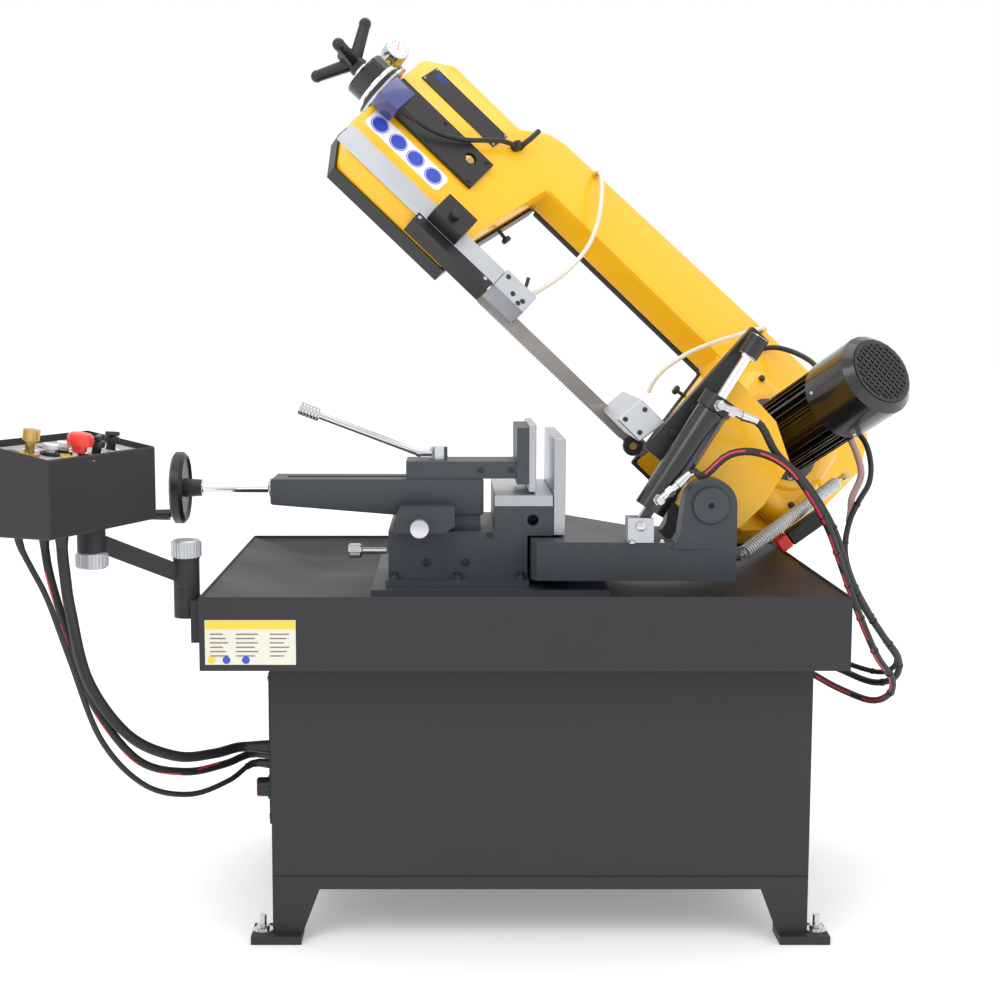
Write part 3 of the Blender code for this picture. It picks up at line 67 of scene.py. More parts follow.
# ---------------------------------------------------------------- materials
def finish_of(name, colour, rough, metal=0.0, grain=900.0, bump=0.05, vary=0.08, coat=0.0,
              stretch=(1.0, 1.0, 1.0), wear=0.0, wear_colour=(0.5, 0.5, 0.5), spread=0.12, specular=0.5):
    """A procedural finish: colour and roughness drift, a fine grain in the normal, and worn patches."""
    mat = bpy.data.materials.new(name)
    mat.use_nodes = True
    nodes, links = mat.node_tree.nodes, mat.node_tree.links
    shader = nodes["Principled BSDF"]
    shader.inputs["Metallic"].default_value = metal
    shader.inputs["Coat Weight"].default_value = coat
    shader.inputs["Coat Roughness"].default_value = 0.06
    shader.inputs["Specular IOR Level"].default_value = specular
    coords = nodes.new("ShaderNodeTexCoord")
    place = nodes.new("ShaderNodeMapping")
    place.inputs["Scale"].default_value = stretch
    links.new(coords.outputs["Object"], place.inputs["Vector"])

    def noise(scale, detail):
        node = nodes.new("ShaderNodeTexNoise")
        node.inputs["Scale"].default_value = scale
        node.inputs["Detail"].default_value = detail
        links.new(place.outputs["Vector"], node.inputs["Vector"])
        return node.outputs["Fac"]

    def mapped(source, low, high, start=0.3, end=0.7):
        node = nodes.new("ShaderNodeMapRange")
        node.inputs["From Min"].default_value = start
        node.inputs["From Max"].default_value = end
        node.inputs["To Min"].default_value = low
        node.inputs["To Max"].default_value = high
        links.new(source, node.inputs["Value"])
        return node.outputs["Result"]

    large, fine = noise(7.0, 4.0), noise(grain, 3.0)
    drift = nodes.new("ShaderNodeMix")
    drift.data_type = "RGBA"
    links.new(mapped(large, 0.0, 1.0), drift.inputs["Factor"])
    drift.inputs["A"].default_value = (*[c * (1 - vary) for c in colour], 1.0)
    drift.inputs["B"].default_value = (*[min(1.0, c * (1 + vary)) for c in colour], 1.0)
    result = drift.outputs["Result"]
    if wear > 0:
        patches = nodes.new("ShaderNodeMix")
        patches.data_type = "RGBA"
        links.new(mapped(noise(60.0, 8.0), 0.0, wear, 0.60, 0.72), patches.inputs["Factor"])
        links.new(result, patches.inputs["A"])
        patches.inputs["B"].default_value = (*wear_colour, 1.0)
        result = patches.outputs["Result"]
    links.new(result, shader.inputs["Base Color"])
    links.new(mapped(large, max(0.03, rough * (1 - spread)), min(1.0, rough * (1 + spread))),
              shader.inputs["Roughness"])
    ripple = nodes.new("ShaderNodeBump")
    ripple.inputs["Strength"].default_value = bump
    ripple.inputs["Distance"].default_value = 0.0004
    links.new(fine, ripple.inputs["Height"])
    links.new(ripple.outputs["Normal"], shader.inputs["Normal"])
    return mat


YELLOW = finish_of("yellow_enamel", (0.98, 0.515, 0.003), 0.30, grain=260, bump=0.03, vary=0.02, coat=0.35)
CHARCOAL = finish_of("charcoal_powder_coat", (0.031, 0.029, 0.032), 0.50, grain=1500, bump=0.55, vary=0.07,
                     specular=0.28)
CASTING = finish_of("painted_casting", (0.042, 0.050, 0.060), 0.48, grain=420, bump=0.22, vary=0.10,
                    wear=0.12, wear_colour=(0.12, 0.12, 0.12))
GLOSS_BLACK = finish_of("gloss_black", (0.008, 0.008, 0.009), 0.22, grain=300, bump=0.04, coat=0.4)
SATIN_BLACK = finish_of("satin_black", (0.014, 0.014, 0.016), 0.42, grain=900, bump=0.12)
MOULDED = finish_of("moulded_black", (0.012, 0.012, 0.013), 0.38, grain=1400, bump=0.15)
RUBBER = finish_of("hose_rubber", (0.014, 0.014, 0.015), 0.58, grain=1200, bump=0.25)
GROUND = finish_of("ground_steel", (0.42, 0.44, 0.46), 0.33, 0.85, grain=500, bump=0.15, vary=0.06,
                   stretch=(0.15, 1.0, 1.0))
PLATED = finish_of("bright_plate", (0.60, 0.61, 0.63), 0.20, 0.95, grain=900, bump=0.04, vary=0.05)
CHROME = finish_of("hard_chrome", (0.82, 0.83, 0.85), 0.09, 1.0, grain=600, bump=0.01, vary=0.03)
MILLED = finish_of("milled_aluminium", (0.56, 0.58, 0.61), 0.38, 0.75, grain=380, bump=0.20, vary=0.07,
                   stretch=(1.0, 0.2, 1.0))
BAND = finish_of("blade_steel", (0.30, 0.275, 0.26), 0.42, 0.8, grain=300, bump=0.20, vary=0.14, wear=0.4,
                 wear_colour=(0.46, 0.44, 0.42), stretch=(0.3, 1.0, 1.0))
BRASS = finish_of("turned_brass", (0.58, 0.39, 0.13), 0.26, 0.95, grain=700, bump=0.10, vary=0.10)
RED = finish_of("red_plastic", (0.80, 0.030, 0.022), 0.28, grain=500, bump=0.03, vary=0.03, coat=0.25)
WHITE = finish_of("white_plastic", (0.80, 0.80, 0.86), 0.35, grain=500, bump=0.02, vary=0.02)
BLUE = finish_of("blue_housing", (0.055, 0.070, 0.230), 0.20, grain=300, bump=0.03, vary=0.10, coat=0.5)
PANEL_PAINT = finish_of("panel_paint", (0.42, 0.42, 0.41), 0.48, grain=1300, bump=0.20, vary=0.04)
MILKY = finish_of("milky_tube", (0.74, 0.70, 0.62), 0.24, grain=200, bump=0.02, vary=0.05)
GALVANISED = finish_of("galvanised_wire", (0.72, 0.75, 0.77), 0.38, 0.45, grain=160, bump=0.15, vary=0.12)
LABEL = finish_of("label_white", (0.86, 0.86, 0.88), 0.40, grain=600, bump=0.02, vary=0.01)
LABEL_BLUE = finish_of("label_blue", (0.035, 0.065, 0.50), 0.38, grain=600, bump=0.02, vary=0.03)
LABEL_CREAM = finish_of("label_cream", (0.70, 0.69, 0.58), 0.42, grain=700, bump=0.04, vary=0.03)
LABEL_YELLOW = finish_of("label_yellow", (0.80, 0.58, 0.06), 0.42, grain=700, bump=0.03, vary=0.03)
INK = finish_of("ink", (0.10, 0.10, 0.11), 0.5, grain=700, bump=0.02)
STRIPE = finish_of("hose_stripe", (0.62, 0.03, 0.05), 0.5, grain=700, bump=0.05)
PINK = finish_of("pink_hose", (0.50, 0.30, 0.31), 0.45, grain=700, bump=0.08)
# near-black painted shade: stands for the shade inside seams, gaps and hollows
GAP_SHADE = finish_of("painted_gap_shade", (0.004, 0.004, 0.004), 0.8, grain=300, bump=0.02)

NODE_FINISH = {
    YELLOW: ("head_frame", "gearbox_housing"),
    CHARCOAL: ("cabinet", "chip_tray", "arm_bracket", "control_arm", "control_box"),
    CASTING: ("base_plate", "vise_base", "vise_beam", "beam_clamp_block", "moving_jaw", "mitre_arm",
              "drive_wheel", "idler_wheel"),
    GLOSS_BLACK: ("motor_body", "motor_cowl", "cylinder_barrel", "tension_housing"),
    SATIN_BLACK: ("rear_cover", "idler_cover", "tension_slide", "blade_guard", "guide_arm_clamp",
                  "lower_guide_bar", "pressure_gauge"),
    MOULDED: ("main_switch", "vise_handwheel", "tension_handle", "selector_front", "selector_rear"),
    GROUND: ("fixed_jaw", "moving_jaw_face"),
    PLATED: ("beam_clamp_knob", "jaw_clamp_lever", "mitre_lock_lever"),
    CHROME: ("cylinder_rod",),
    MILLED: ("guide_arm", "upper_guide_block", "lower_guide_block", "cylinder_bracket"),
    BAND: ("saw_blade",),
    BRASS: ("speed_valve_knob",),
    RED: ("emergency_stop",),
    WHITE: ("start_button", "lamp_button"),
    BLUE: ("blade_switch",),
    PANEL_PAINT: ("control_panel",),
    MILKY: ("coolant_tube_upper", "coolant_tube_lower"),
    INK: ("hinge_pin",),
}
for finish, names in NODE_FINISH.items():
    for name in names:
        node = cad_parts[name]
        node.data.materials.clear()
        node.data.materials.append(finish)


def smooth_node(node):
    """Round faces shade smoothly and edges stay crisp."""
    if "custom_normal" in node.data.attributes:
        node.data.attributes.remove(node.data.attributes["custom_normal"])
    for polygon in node.data.polygons:
        polygon.use_smooth = True
    weld = node.modifiers.new("weld", "WELD")
    weld.merge_threshold = 0.00002
    split = node.modifiers.new("split", "EDGE_SPLIT")
    split.split_angle = math.radians(32)


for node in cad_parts.values():
    smooth_node(node)


# ---------------------------------------------------------------- piece helpers
def add(name, mesh, finish, body, matrix, smooth=32.0, bevel=0.0):
    """Links a mesh as a piece that rides on a body."""
    piece = bpy.data.objects.new(name, mesh)
    bpy.context.scene.collection.objects.link(piece)
    piece.matrix_world = matrix
    mesh.materials.append(finish)
    mesh.shade_smooth()
    mesh.set_sharp_from_angle(angle=math.radians(smooth))
    if bevel:
        modifier = piece.modifiers.new("bevel", "BEVEL")
        modifier.width = bevel
        modifier.segments = 2
        modifier.limit_method = "ANGLE"
    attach(piece, body)
    return piece


def to_mesh(bm):
    bmesh.ops.recalc_face_normals(bm, faces=bm.faces)
    mesh = bpy.data.meshes.new("piece")
    bm.to_mesh(mesh)
    bm.free()
    return mesh


def box_mesh(low, high):
    low, high = Vector(low), Vector(high)
    bm = bmesh.new()
    bmesh.ops.create_cube(bm, size=1.0)
    bmesh.ops.scale(bm, vec=high - low, verts=bm.verts)
    bmesh.ops.translate(bm, vec=(low + high) / 2, verts=bm.verts)
    return to_mesh(bm)


def add_lathe(bm, profile, place, direction, sides=24):
    """Adds (radius, height) points, turned about a direction, to a bmesh."""
    turn = Vector(direction).to_track_quat("Z", "Y").to_matrix()
    rings = []
    for radius, height in profile:
        rings.append([bm.verts.new(Vector(place) + turn @ Vector((
            max(radius, 0.00002) * math.cos(2 * math.pi * k / sides),
            max(radius, 0.00002) * math.sin(2 * math.pi * k / sides), height)))
            for k in range(sides)])
    for lower, upper in zip(rings, rings[1:]):
        for k in range(sides):
            j = (k + 1) % sides
            bm.faces.new((lower[k], lower[j], upper[j], upper[k]))
    bm.faces.new(rings[0])
    bm.faces.new(rings[-1])


def lathe(name, profile, place, direction, finish, body, matrix, sides=24):
    bm = bmesh.new()
    add_lathe(bm, profile, place, direction, sides)
    return add(name, to_mesh(bm), finish, body, matrix)


def socket_screw(bm, place, direction, radius, height=None):
    """A socket-head screw: a knurl-sized head with a sunk hexagon."""
    height = height or radius * 0.9
    add_lathe(bm, [(radius, 0.0), (radius, height * 0.85), (radius * 0.88, height),
                   (radius * 0.50, height)], place, direction, 20)
    add_lathe(bm, [(radius * 0.48, height * 0.99), (radius * 0.44, height * 0.45)], place, direction, 6)


def ring_bolt(bm, place, direction, radius):
    """A round flanged head with a sunk centre."""
    add_lathe(bm, [(radius, 0.0), (radius, 0.0035), (radius * 0.85, 0.0048), (radius * 0.52, 0.0048),
                   (radius * 0.48, 0.0012)], place, direction, 24)


def hex_bolt(bm, place, direction, radius):
    """A hexagon head on a washer."""
    add_lathe(bm, [(radius * 1.35, 0.0), (radius * 1.35, radius * 0.2)], place, direction, 24)
    add_lathe(bm, [(radius, radius * 0.2), (radius, radius * 0.8), (radius * 0.8, radius * 0.9)],
              place, direction, 6)


def gather(name, build, items, finish, body, matrix):
    """One piece from several small copies."""
    bm = bmesh.new()
    for item in items:
        build(bm, *item)
    return add(name, to_mesh(bm), finish, body, matrix)


def route_of(points, spacing):
    """Evenly spaced points on one smooth curve through the route's own points."""
    knots = [Vector(p) for p in points]
    knots = [2 * knots[0] - knots[1], *knots, 2 * knots[-1] - knots[-2]]
    dense = []
    for a, b, c, d in zip(knots, knots[1:], knots[2:], knots[3:]):
        for i in range(20):
            t = i / 20
            dense.append(0.5 * (2 * b + (c - a) * t + (2 * a - 5 * b + 4 * c - d) * t * t
                                + (3 * b - a - 3 * c + d) * t * t * t))
    dense.append(knots[-2])
    lengths = [0.0]
    for a, b in zip(dense, dense[1:]):
        lengths.append(lengths[-1] + (b - a).length)
    count = max(2, round(lengths[-1] / spacing))
    result, k = [], 0
    for i in range(count + 1):
        want = lengths[-1] * i / count
        while k < len(dense) - 2 and lengths[k + 1] < want:
            k += 1
        span = max(lengths[k + 1] - lengths[k], 1e-9)
        result.append(dense[k].lerp(dense[k + 1], min(1.0, (want - lengths[k]) / span)))
    return result


def line(name, points, radius, finish, body, matrix, resolution=4, radii=None):
    """A round wire or tube along points that are already close together."""
    curve = bpy.data.curves.new(name, "CURVE")
    curve.dimensions = "3D"
    curve.bevel_depth = radius
    curve.bevel_resolution = resolution
    curve.use_fill_caps = True
    spline = curve.splines.new("POLY")
    spline.points.add(len(points) - 1)
    for index, place in enumerate(points):
        spline.points[index].co = (*(matrix @ Vector(place)), 1.0)
        if radii:
            spline.points[index].radius = radii[index]
    spline.use_smooth = True
    piece = bpy.data.objects.new(name, curve)
    bpy.context.scene.collection.objects.link(piece)
    curve.materials.append(finish)
    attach(piece, body)
    return piece


# ---------------------------------------------------------------- camera, then cords
camera = bpy.data.objects.new("camera", bpy.data.cameras.new("camera"))
bpy.context.scene.collection.objects.link(camera)
camera.location = MACHINE @ Vector((-0.110, -2.76, 1.0))
camera.rotation_euler = (math.radians(83.5), 0.0, 0.0)
camera.data.lens = 57.35
camera.data.sensor_width = 36.0
camera.data.shift_x = 0.0494
bpy.context.scene.camera = camera

MACHINE_WALL_LEFT = -0.397 - 0.008 - 0.0012
MACHINE_WALL_RIGHT = 0.466 + 0.0012
BOX_BOTTOM = 0.6888


def port(distance, aim):
    """The first two points of a cylinder hose, straight out of its port's nut."""
    start = CYLINDER_FOOT + CYLINDER_AXIS * distance + Vector((0.0, -CYLINDER_RADIUS - 0.014, 0.0))
    direction = Vector(aim).normalized()
    return [start + direction * 0.0375, start + direction * 0.070]


CABLE_EXIT = MACHINE.inverted() @ HEAD @ Vector((0.1122, -0.195, 0.215))
CABLE_NEXT = MACHINE.inverted() @ HEAD @ Vector((0.140, -0.195, 0.215))
CORDS = {
    "control_conduit": (0.0085, "stiff", [
        (-0.679, -0.450, BOX_BOTTOM), (-0.679, -0.449, 0.660), (-0.677, -0.445, 0.625),
        (-0.673, -0.435, 0.571), (-0.657, -0.400, 0.455), (-0.611, -0.335, 0.354),
        (-0.551, -0.265, 0.302), (-0.500, -0.200, 0.288), (MACHINE_WALL_LEFT - 0.055, -0.155, 0.287),
        (MACHINE_WALL_LEFT, -0.155, 0.287)]),
    "control_hose": (0.0065, "stiff", [
        (-0.708, -0.440, BOX_BOTTOM), (-0.707, -0.438, 0.662), (-0.703, -0.432, 0.624),
        (-0.693, -0.418, 0.569), (-0.676, -0.386, 0.480), (-0.655, -0.350, 0.395),
        (-0.606, -0.286, 0.300), (-0.545, -0.216, 0.262), (-0.490, -0.150, 0.256),
        (MACHINE_WALL_LEFT - 0.045, -0.108, 0.262), (MACHINE_WALL_LEFT, -0.108, 0.262)]),
    "control_cable": (0.0045, "medium", [
        (-0.738, -0.470, BOX_BOTTOM), (-0.734, -0.468, 0.668), (-0.722, -0.464, 0.640),
        (-0.700, -0.458, 0.590), (-0.674, -0.444, 0.500), (-0.640, -0.400, 0.365),
        (-0.590, -0.330, 0.274), (-0.530, -0.262, 0.238), (-0.475, -0.205, 0.244),
        (MACHINE_WALL_LEFT - 0.036, -0.166, 0.261), (MACHINE_WALL_LEFT, -0.166, 0.261)]),
    "cylinder_hose_upper": (0.0062, "stiff", [*port(*PORTS["upper"]),
        (0.408, -0.238, 0.786), (0.452, -0.225, 0.745), (0.490, -0.200, 0.698),
        (0.522, -0.170, 0.648), (0.550, -0.130, 0.590), (0.587, -0.080, 0.525),
        (0.648, -0.010, 0.448), (0.694, 0.050, 0.394), (0.703, 0.100, 0.348), (0.676, 0.150, 0.327),
        (0.620, 0.185, 0.345), (0.560, 0.200, 0.370), (MACHINE_WALL_RIGHT + 0.036, 0.205, 0.382),
        (MACHINE_WALL_RIGHT, 0.205, 0.384)]),
    "cylinder_hose_lower": (0.0062, "stiff", [*port(*PORTS["lower"]),
        (0.292, -0.244, 0.752), (0.330, -0.252, 0.786), (0.374, -0.256, 0.790),
        (0.420, -0.262, 0.768), (0.462, -0.246, 0.720), (0.500, -0.218, 0.660),
        (0.536, -0.165, 0.590), (0.580, -0.105, 0.505), (0.628, -0.050, 0.420),
        (0.672, 0.010, 0.366), (0.684, 0.065, 0.325), (0.664, 0.115, 0.301), (0.610, 0.150, 0.317),
        (0.555, 0.165, 0.345), (MACHINE_WALL_RIGHT + 0.036, 0.170, 0.356),
        (MACHINE_WALL_RIGHT, 0.170, 0.358)]),
    "motor_cable": (0.0050, "medium", [
        CABLE_EXIT, CABLE_NEXT, (0.639, 0.118, 0.780),
        (0.642, 0.082, 0.745), (0.629, 0.038, 0.712), (0.601, 0.000, 0.682), (0.577, -0.034, 0.648),
        (0.566, -0.058, 0.602), (0.582, -0.056, 0.550), (0.620, -0.016, 0.492), (0.670, 0.044, 0.425),
        (0.706, 0.100, 0.378), (0.692, 0.150, 0.346), (0.640, 0.200, 0.352), (0.575, 0.232, 0.378),
        (MACHINE_WALL_RIGHT + 0.036, 0.240, 0.392), (MACHINE_WALL_RIGHT, 0.240, 0.394)]),
    "coolant_tube_upper": (0.0042, "medium", [
        (-0.502, FRONT - 0.0105, 0.378), (-0.494, FRONT - 0.024, 0.362), (-0.470, -0.080, 0.318),
        (-0.441, -0.086, 0.253), (-0.424, -0.085, 0.190), (-0.421, -0.072, 0.135),
        (-0.426, -0.056, 0.098), (-0.434, -0.040, 0.070), (-0.440, -0.030, 0.048)]),
    "coolant_tube_lower": (0.0042, "medium", [
        (-0.062, FRONT - 0.0105, 0.389), (-0.070, FRONT - 0.024, 0.368), (-0.092, -0.076, 0.320),
        (-0.127, -0.086, 0.240), (-0.153, -0.084, 0.176), (-0.167, -0.070, 0.125),
        (-0.168, -0.052, 0.096), (-0.160, -0.036, 0.076)]),
}


def strips(name, route, radius, finish, run, gap):
    """Printed strips along a hose's side that faces the operator."""
    bm = bmesh.new()
    for first in range(5, len(route) - 5 - run, run + gap):
        rings = []
        for index in range(first, first + run + 1):
            along = (route[index + 1] - route[index - 1]).normalized()
            out = Vector((-0.60, -0.90, 0.20))
            out = (out - out.dot(along) * along).normalized()
            side = along.cross(out) * 0.0016
            surface = route[index] + out * radius
            rings.append([bm.verts.new(surface + s * side + h * out * 0.0003)
                          for s, h in ((-1, -2), (1, -2), (1, 1), (-1, 1))])
        for lower, upper in zip(rings, rings[1:]):
            for k in range(4):
                bm.faces.new((lower[k], lower[(k + 1) % 4], upper[(k + 1) % 4], upper[k]))
        bm.faces.new(rings[0])
        bm.faces.new(rings[-1])
    return add(name, to_mesh(bm), finish, "stand", MACHINE)


def sleeve(name, route, start, count, radius, finish):
    """A tapered sleeve or crimped ferrule over one end of a hose."""
    points = route[start:start + count] if start >= 0 else route[start:][:count]
    radii = [1.0 - 0.35 * i / (len(points) - 1) for i in range(len(points))]
    if start < 0:
        radii.reverse()
    return line(name, points, radius, finish, "stand", MACHINE, radii=radii)


ROUTES = {}
for name, (radius, stiffness, points) in CORDS.items():
    clear = name.startswith("coolant")
    body, matrix = ("head", HEAD) if clear else ("stand", MACHINE)
    route = ROUTES[name] = route_of(points, 0.008 if clear else 0.012)
    piece = line(name + "_run", route, radius, MILKY if clear else RUBBER, body, matrix)
    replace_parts(piece, name)
    if clear:
        continue
    ferrule = PLATED if name.startswith("cylinder") else MOULDED
    sleeve(name + "_ferrule", route, 0, 4, radius + 0.0022, ferrule)
    sleeve(name + "_relief", route, -5, 5, radius + 0.0040, MOULDED)
strips("print_lower", ROUTES["cylinder_hose_lower"], 0.0062, STRIPE, 6, 2)
bm = bmesh.new()
for name, start in (("cylinder_hose_upper", 22), ("cylinder_hose_lower", 26), ("motor_cable", 20)):
    route = ROUTES[name]
    radius = CORDS[name][0]
    for index in range(start, len(route) - 20, 7):
        way = route[index + 1] - route[index]
        add_lathe(bm, [(radius * 0.9, -0.0016), (radius + 0.0011, -0.0013), (radius + 0.0011, 0.0013),
                       (radius * 0.9, 0.0016)], route[index], way, 20)
add("cable_ties", to_mesh(bm), MOULDED, "stand", MACHINE)
strips("print_control", ROUTES["control_hose"], 0.0065, STRIPE, 4, 3)

# ---------------------------------------------------------------- stand
gather("foot_pads", lambda bm, x, y: add_lathe(bm, [(0.017, 0.0137), (0.017, 0.0157), (0.0105, 0.016),
                                                    (0.0105, 0.0225), (0.0055, 0.0228), (0.0055, 0.040)],
                                               (x, y, 0.0), (0, 0, 1), 20),
       [(-0.414, -0.268), (-0.414, 0.268), (0.483, -0.268), (0.483, 0.268)], PLATED, "stand", MACHINE)
# painted shade: thin near-black strips stand for the shade in the cabinet's seam and door gaps
add("cabinet_seam_shade", box_mesh((-0.3965, -0.2806, 0.1070), (0.4655, -0.2797, 0.1084)), GAP_SHADE, "stand", MACHINE)
for name, x0, x1 in (("door_gap_shade_left", -0.3978, -0.3968), ("door_gap_shade_right", 0.4658, 0.4668)):
    add(name, box_mesh((x0, -0.262, 0.108), (x1, -0.2604, 0.452)), GAP_SHADE, "stand", MACHINE)
lathe("switch_plate", [(0.0245, -0.0016), (0.0245, 0.0006), (0.020, 0.0008)], (-0.4053, -0.200, 0.232),
      (-1, 0, 0), LABEL_YELLOW, "stand", MACHINE, 32)
add("switch_pointer", box_mesh((-0.4300, -0.2035, 0.2180), (-0.4270, -0.1965, 0.2460)), RED,
    "main_switch_body", MACHINE, bevel=0.0008)
gather("panel_screws", lambda bm, y, z: add_lathe(bm, [(0.0045, 0.0), (0.0045, 0.0015), (0.0030, 0.0028)],
                                                  (-0.4051, y, z), (-1, 0, 0), 16),
       [(y, z) for y in (-0.225, 0.050) for z in (0.190, 0.420)], PLATED, "stand", MACHINE)
rim = [(-0.4955, -0.3485, 0.5735), (0.5055, -0.3485, 0.5735), (0.5055, 0.3485, 0.5735),
       (-0.4955, 0.3485, 0.5735), (-0.4955, -0.3485, 0.5735)]
edge = []
for a, b in zip(rim, rim[1:]):
    edge += [Vector(a).lerp(Vector(b), i / 16) for i in range(16)]
edge.append(Vector(rim[0]))
line("tray_hem", edge, 0.0019, CHARCOAL, "stand", MACHINE)

# rating plate: a plain cream plate with one band and generic bars
add("rating_plate", box_mesh((-0.4880, -0.3512, 0.4700), (-0.3480, -0.3502, 0.5400)), LABEL_CREAM,
    "stand", MACHINE, bevel=0.0004)
add("rating_band", box_mesh((-0.4870, -0.3516, 0.5260), (-0.3490, -0.3511, 0.5392)), LABEL_YELLOW,
    "stand", MACHINE)
bars = bmesh.new()
for row in range(6):
    height = 0.5180 - 0.0068 * row
    for start, run in ((-0.480, 0.020 + 0.004 * (row % 3)), (-0.440, 0.034 - 0.005 * (row % 2)),
                       (-0.388, 0.030 - 0.004 * (row % 3))):
        cube = bmesh.ops.create_cube(bars, size=1.0)["verts"]
        bmesh.ops.scale(bars, vec=(run, 0.0004, 0.0016), verts=cube)
        bmesh.ops.translate(bars, vec=(start + run / 2, -0.3513, height), verts=cube)
add("rating_bars", to_mesh(bars), INK, "stand", MACHINE)
for index, (x, finish) in enumerate(((-0.455, LABEL_BLUE), (-0.425, LABEL_BLUE), (-0.478, LABEL_YELLOW))):
    lathe(f"rating_disc_{index}", [(0.0060, 0.0), (0.0060, 0.0005)], (x, -0.3512, 0.4775), (0, -1, 0),
          finish, "stand", MACHINE, 24)

# ---------------------------------------------------------------- vise
lathe("vise_screw_rod", [(0.0081, 0.040), (0.0081, 0.1905), (0.0060, 0.1915)], VISE_SCREW,
      (1, 0, 0), CHROME, "handwheel_body", MACHINE, 32)
lathe("beam_collar", [(0.0150, -0.006), (0.0165, -0.004), (0.0165, 0.0), (0.0095, 0.0)],
      (-0.4105, -0.083, 0.716), (1, 0, 0), PLATED, "beam_body", MACHINE, 32)
add("bed_strip_front", box_mesh((-0.0372, -0.1508, 0.6925), (0.0585, -0.1499, 0.7102)), GROUND,
    "stand", MACHINE)
add("bed_strip_top", box_mesh((-0.0365, -0.1495, 0.7098), (0.0585, 0.1195, 0.7104)), GROUND, "stand", MACHINE)
gather("base_screws", socket_screw, [((x, -0.162, 0.5798), (0, 0, 1), 0.0062, 0.004)
                                     for x in (-0.203, -0.098, 0.006)], SATIN_BLACK, "stand", MACHINE)
gather("block_screws", socket_screw, [((x, -0.1500, 0.600), (0, -1, 0), 0.0060, 0.004)
                                      for x in (-0.150, -0.085)] +
       [((-0.045, -0.1500, 0.645), (0, -1, 0), 0.0050, 0.003)], SATIN_BLACK, "stand", MACHINE)
gather("jaw_screws", socket_screw, [((x, -0.1252, 0.750), (0, -1, 0), 0.0045, 0.003)
                                    for x in (-0.010, -0.060)], SATIN_BLACK, "jaw_body", MACHINE)
gather("knob_knurl", lambda bm, k: add_lathe(bm, [(0.0011, -0.003), (0.0011, -0.020)],
       (-0.160 + 0.0145 * math.cos(k * math.pi / 12), -0.202, 0.664 + 0.0145 * math.sin(k * math.pi / 12)),
       (0, 1, 0), 6), [(k,) for k in range(24)], PLATED, "beam_knob_body", MACHINE)
gather("lock_knurl", lambda bm, k: add_lathe(bm, [(0.0010, 0.0), (0.0010, 0.017)],
       (-0.2795, -0.100 + 0.0115 * math.cos(k * math.pi / 12), 0.611 + 0.0115 * math.sin(k * math.pi / 12)),
       (1, 0, 0), 6), [(k,) for k in range(24)], PLATED, "mitre_lock_body", MACHINE)
lever_grip, lever_tip = Vector((-0.328, -0.113, 0.840)), Vector((-0.361, -0.117, 0.853))
gather("lever_rings", lambda bm, share: add_lathe(bm, [(0.0108, -0.0012), (0.0113, 0.0), (0.0108, 0.0012)],
       lever_grip.lerp(lever_tip, share), lever_tip - lever_grip, 24),
       [(0.1 + 0.16 * k,) for k in range(6)], GROUND, "jaw_lever_body", MACHINE)
gather("wheel_rings", lambda bm, r, x: add_lathe(bm, [(r, 0.0), (r, 0.0008), (r - 0.0015, 0.0012)],
       (x, -0.083, 0.716), (1, 0, 0), 48), [(0.0145, -0.5290)], PLATED, "handwheel_body", MACHINE)

# ---------------------------------------------------------------- mitre arm, hinge and cylinder
lathe("hinge_rim", [(0.0300, 0.0), (0.0300, 0.0045), (0.0285, 0.0062), (0.0270, 0.0062)],
      HINGE_FACE, (0, -1, 0), CASTING, "mitre_arm_body", MACHINE, 48)
# painted shade: a near-black disc stands for the shaded hollow of the hinge's dimple
lathe("hinge_dimple_shade", [(0.0050, 0.0), (0.0050, 0.0066)], HINGE_FACE, (0, -1, 0), GAP_SHADE,
      "mitre_arm_body", MACHINE, 24)
gather("bracket_bolts", hex_bolt, [((0.182, -0.2170, 0.6403), (0, 0, 1), 0.0050),
                                   ((0.232, -0.2050, 0.6403), (0, 0, 1), 0.0050)], PLATED,
       "mitre_arm_body", MACHINE)
lathe("bracket_pin_head", [(0.0075, 0.0), (0.0075, 0.0030), (0.0060, 0.0038)],
      (0.197, -0.2146, 0.667), (0, -1, 0), PLATED, "mitre_arm_body", MACHINE, 24)
for tag, (distance, aim) in PORTS.items():
    start = CYLINDER_FOOT + CYLINDER_AXIS * distance + Vector((0.0, -CYLINDER_RADIUS + 0.003, 0.0))
    bend = start + Vector((0.0, -0.017, 0.0))
    way = Vector(aim).normalized()
    bm = bmesh.new()
    add_lathe(bm, [(0.0098, 0.0), (0.0098, 0.009)], start, (0, -1, 0), 6)
    add_lathe(bm, [(0.0074, 0.008), (0.0074, 0.026), (0.0060, 0.0275)], start, (0, -1, 0), 20)
    add_lathe(bm, [(0.0068, 0.004), (0.0068, 0.016)], bend, way, 20)
    add_lathe(bm, [(0.0094, 0.016), (0.0094, 0.027)], bend, way, 6)
    add_lathe(bm, [(0.0066, 0.027), (0.0066, 0.0368)], bend, way, 20)
    add(f"port_fitting_{tag}", to_mesh(bm), PLATED, "cylinder_body", MACHINE)
bm = bmesh.new()
add_lathe(bm, [(0.0281, 0.2185), (0.0292, 0.219), (0.0292, 0.2425), (0.0275, 0.2434), (0.0100, 0.2434)],
          CYLINDER_FOOT, CYLINDER_AXIS, 40)
add("cylinder_gland", to_mesh(bm), SATIN_BLACK, "cylinder_body", MACHINE)
reach = (CYLINDER_HEAD - CYLINDER_FOOT).length
lathe("rod_end_block", [(0.0150, reach - 0.0183), (0.0163, reach - 0.0170), (0.0163, reach + 0.0170),
                        (0.0150, reach + 0.0183)], CYLINDER_FOOT, CYLINDER_AXIS, SATIN_BLACK,
      "rod_body", MACHINE, 32)
lathe("rod_nut", [(0.0115, reach - 0.0214), (0.0115, reach - 0.0185)], CYLINDER_FOOT, CYLINDER_AXIS, PLATED,
      "rod_body", MACHINE, 6)

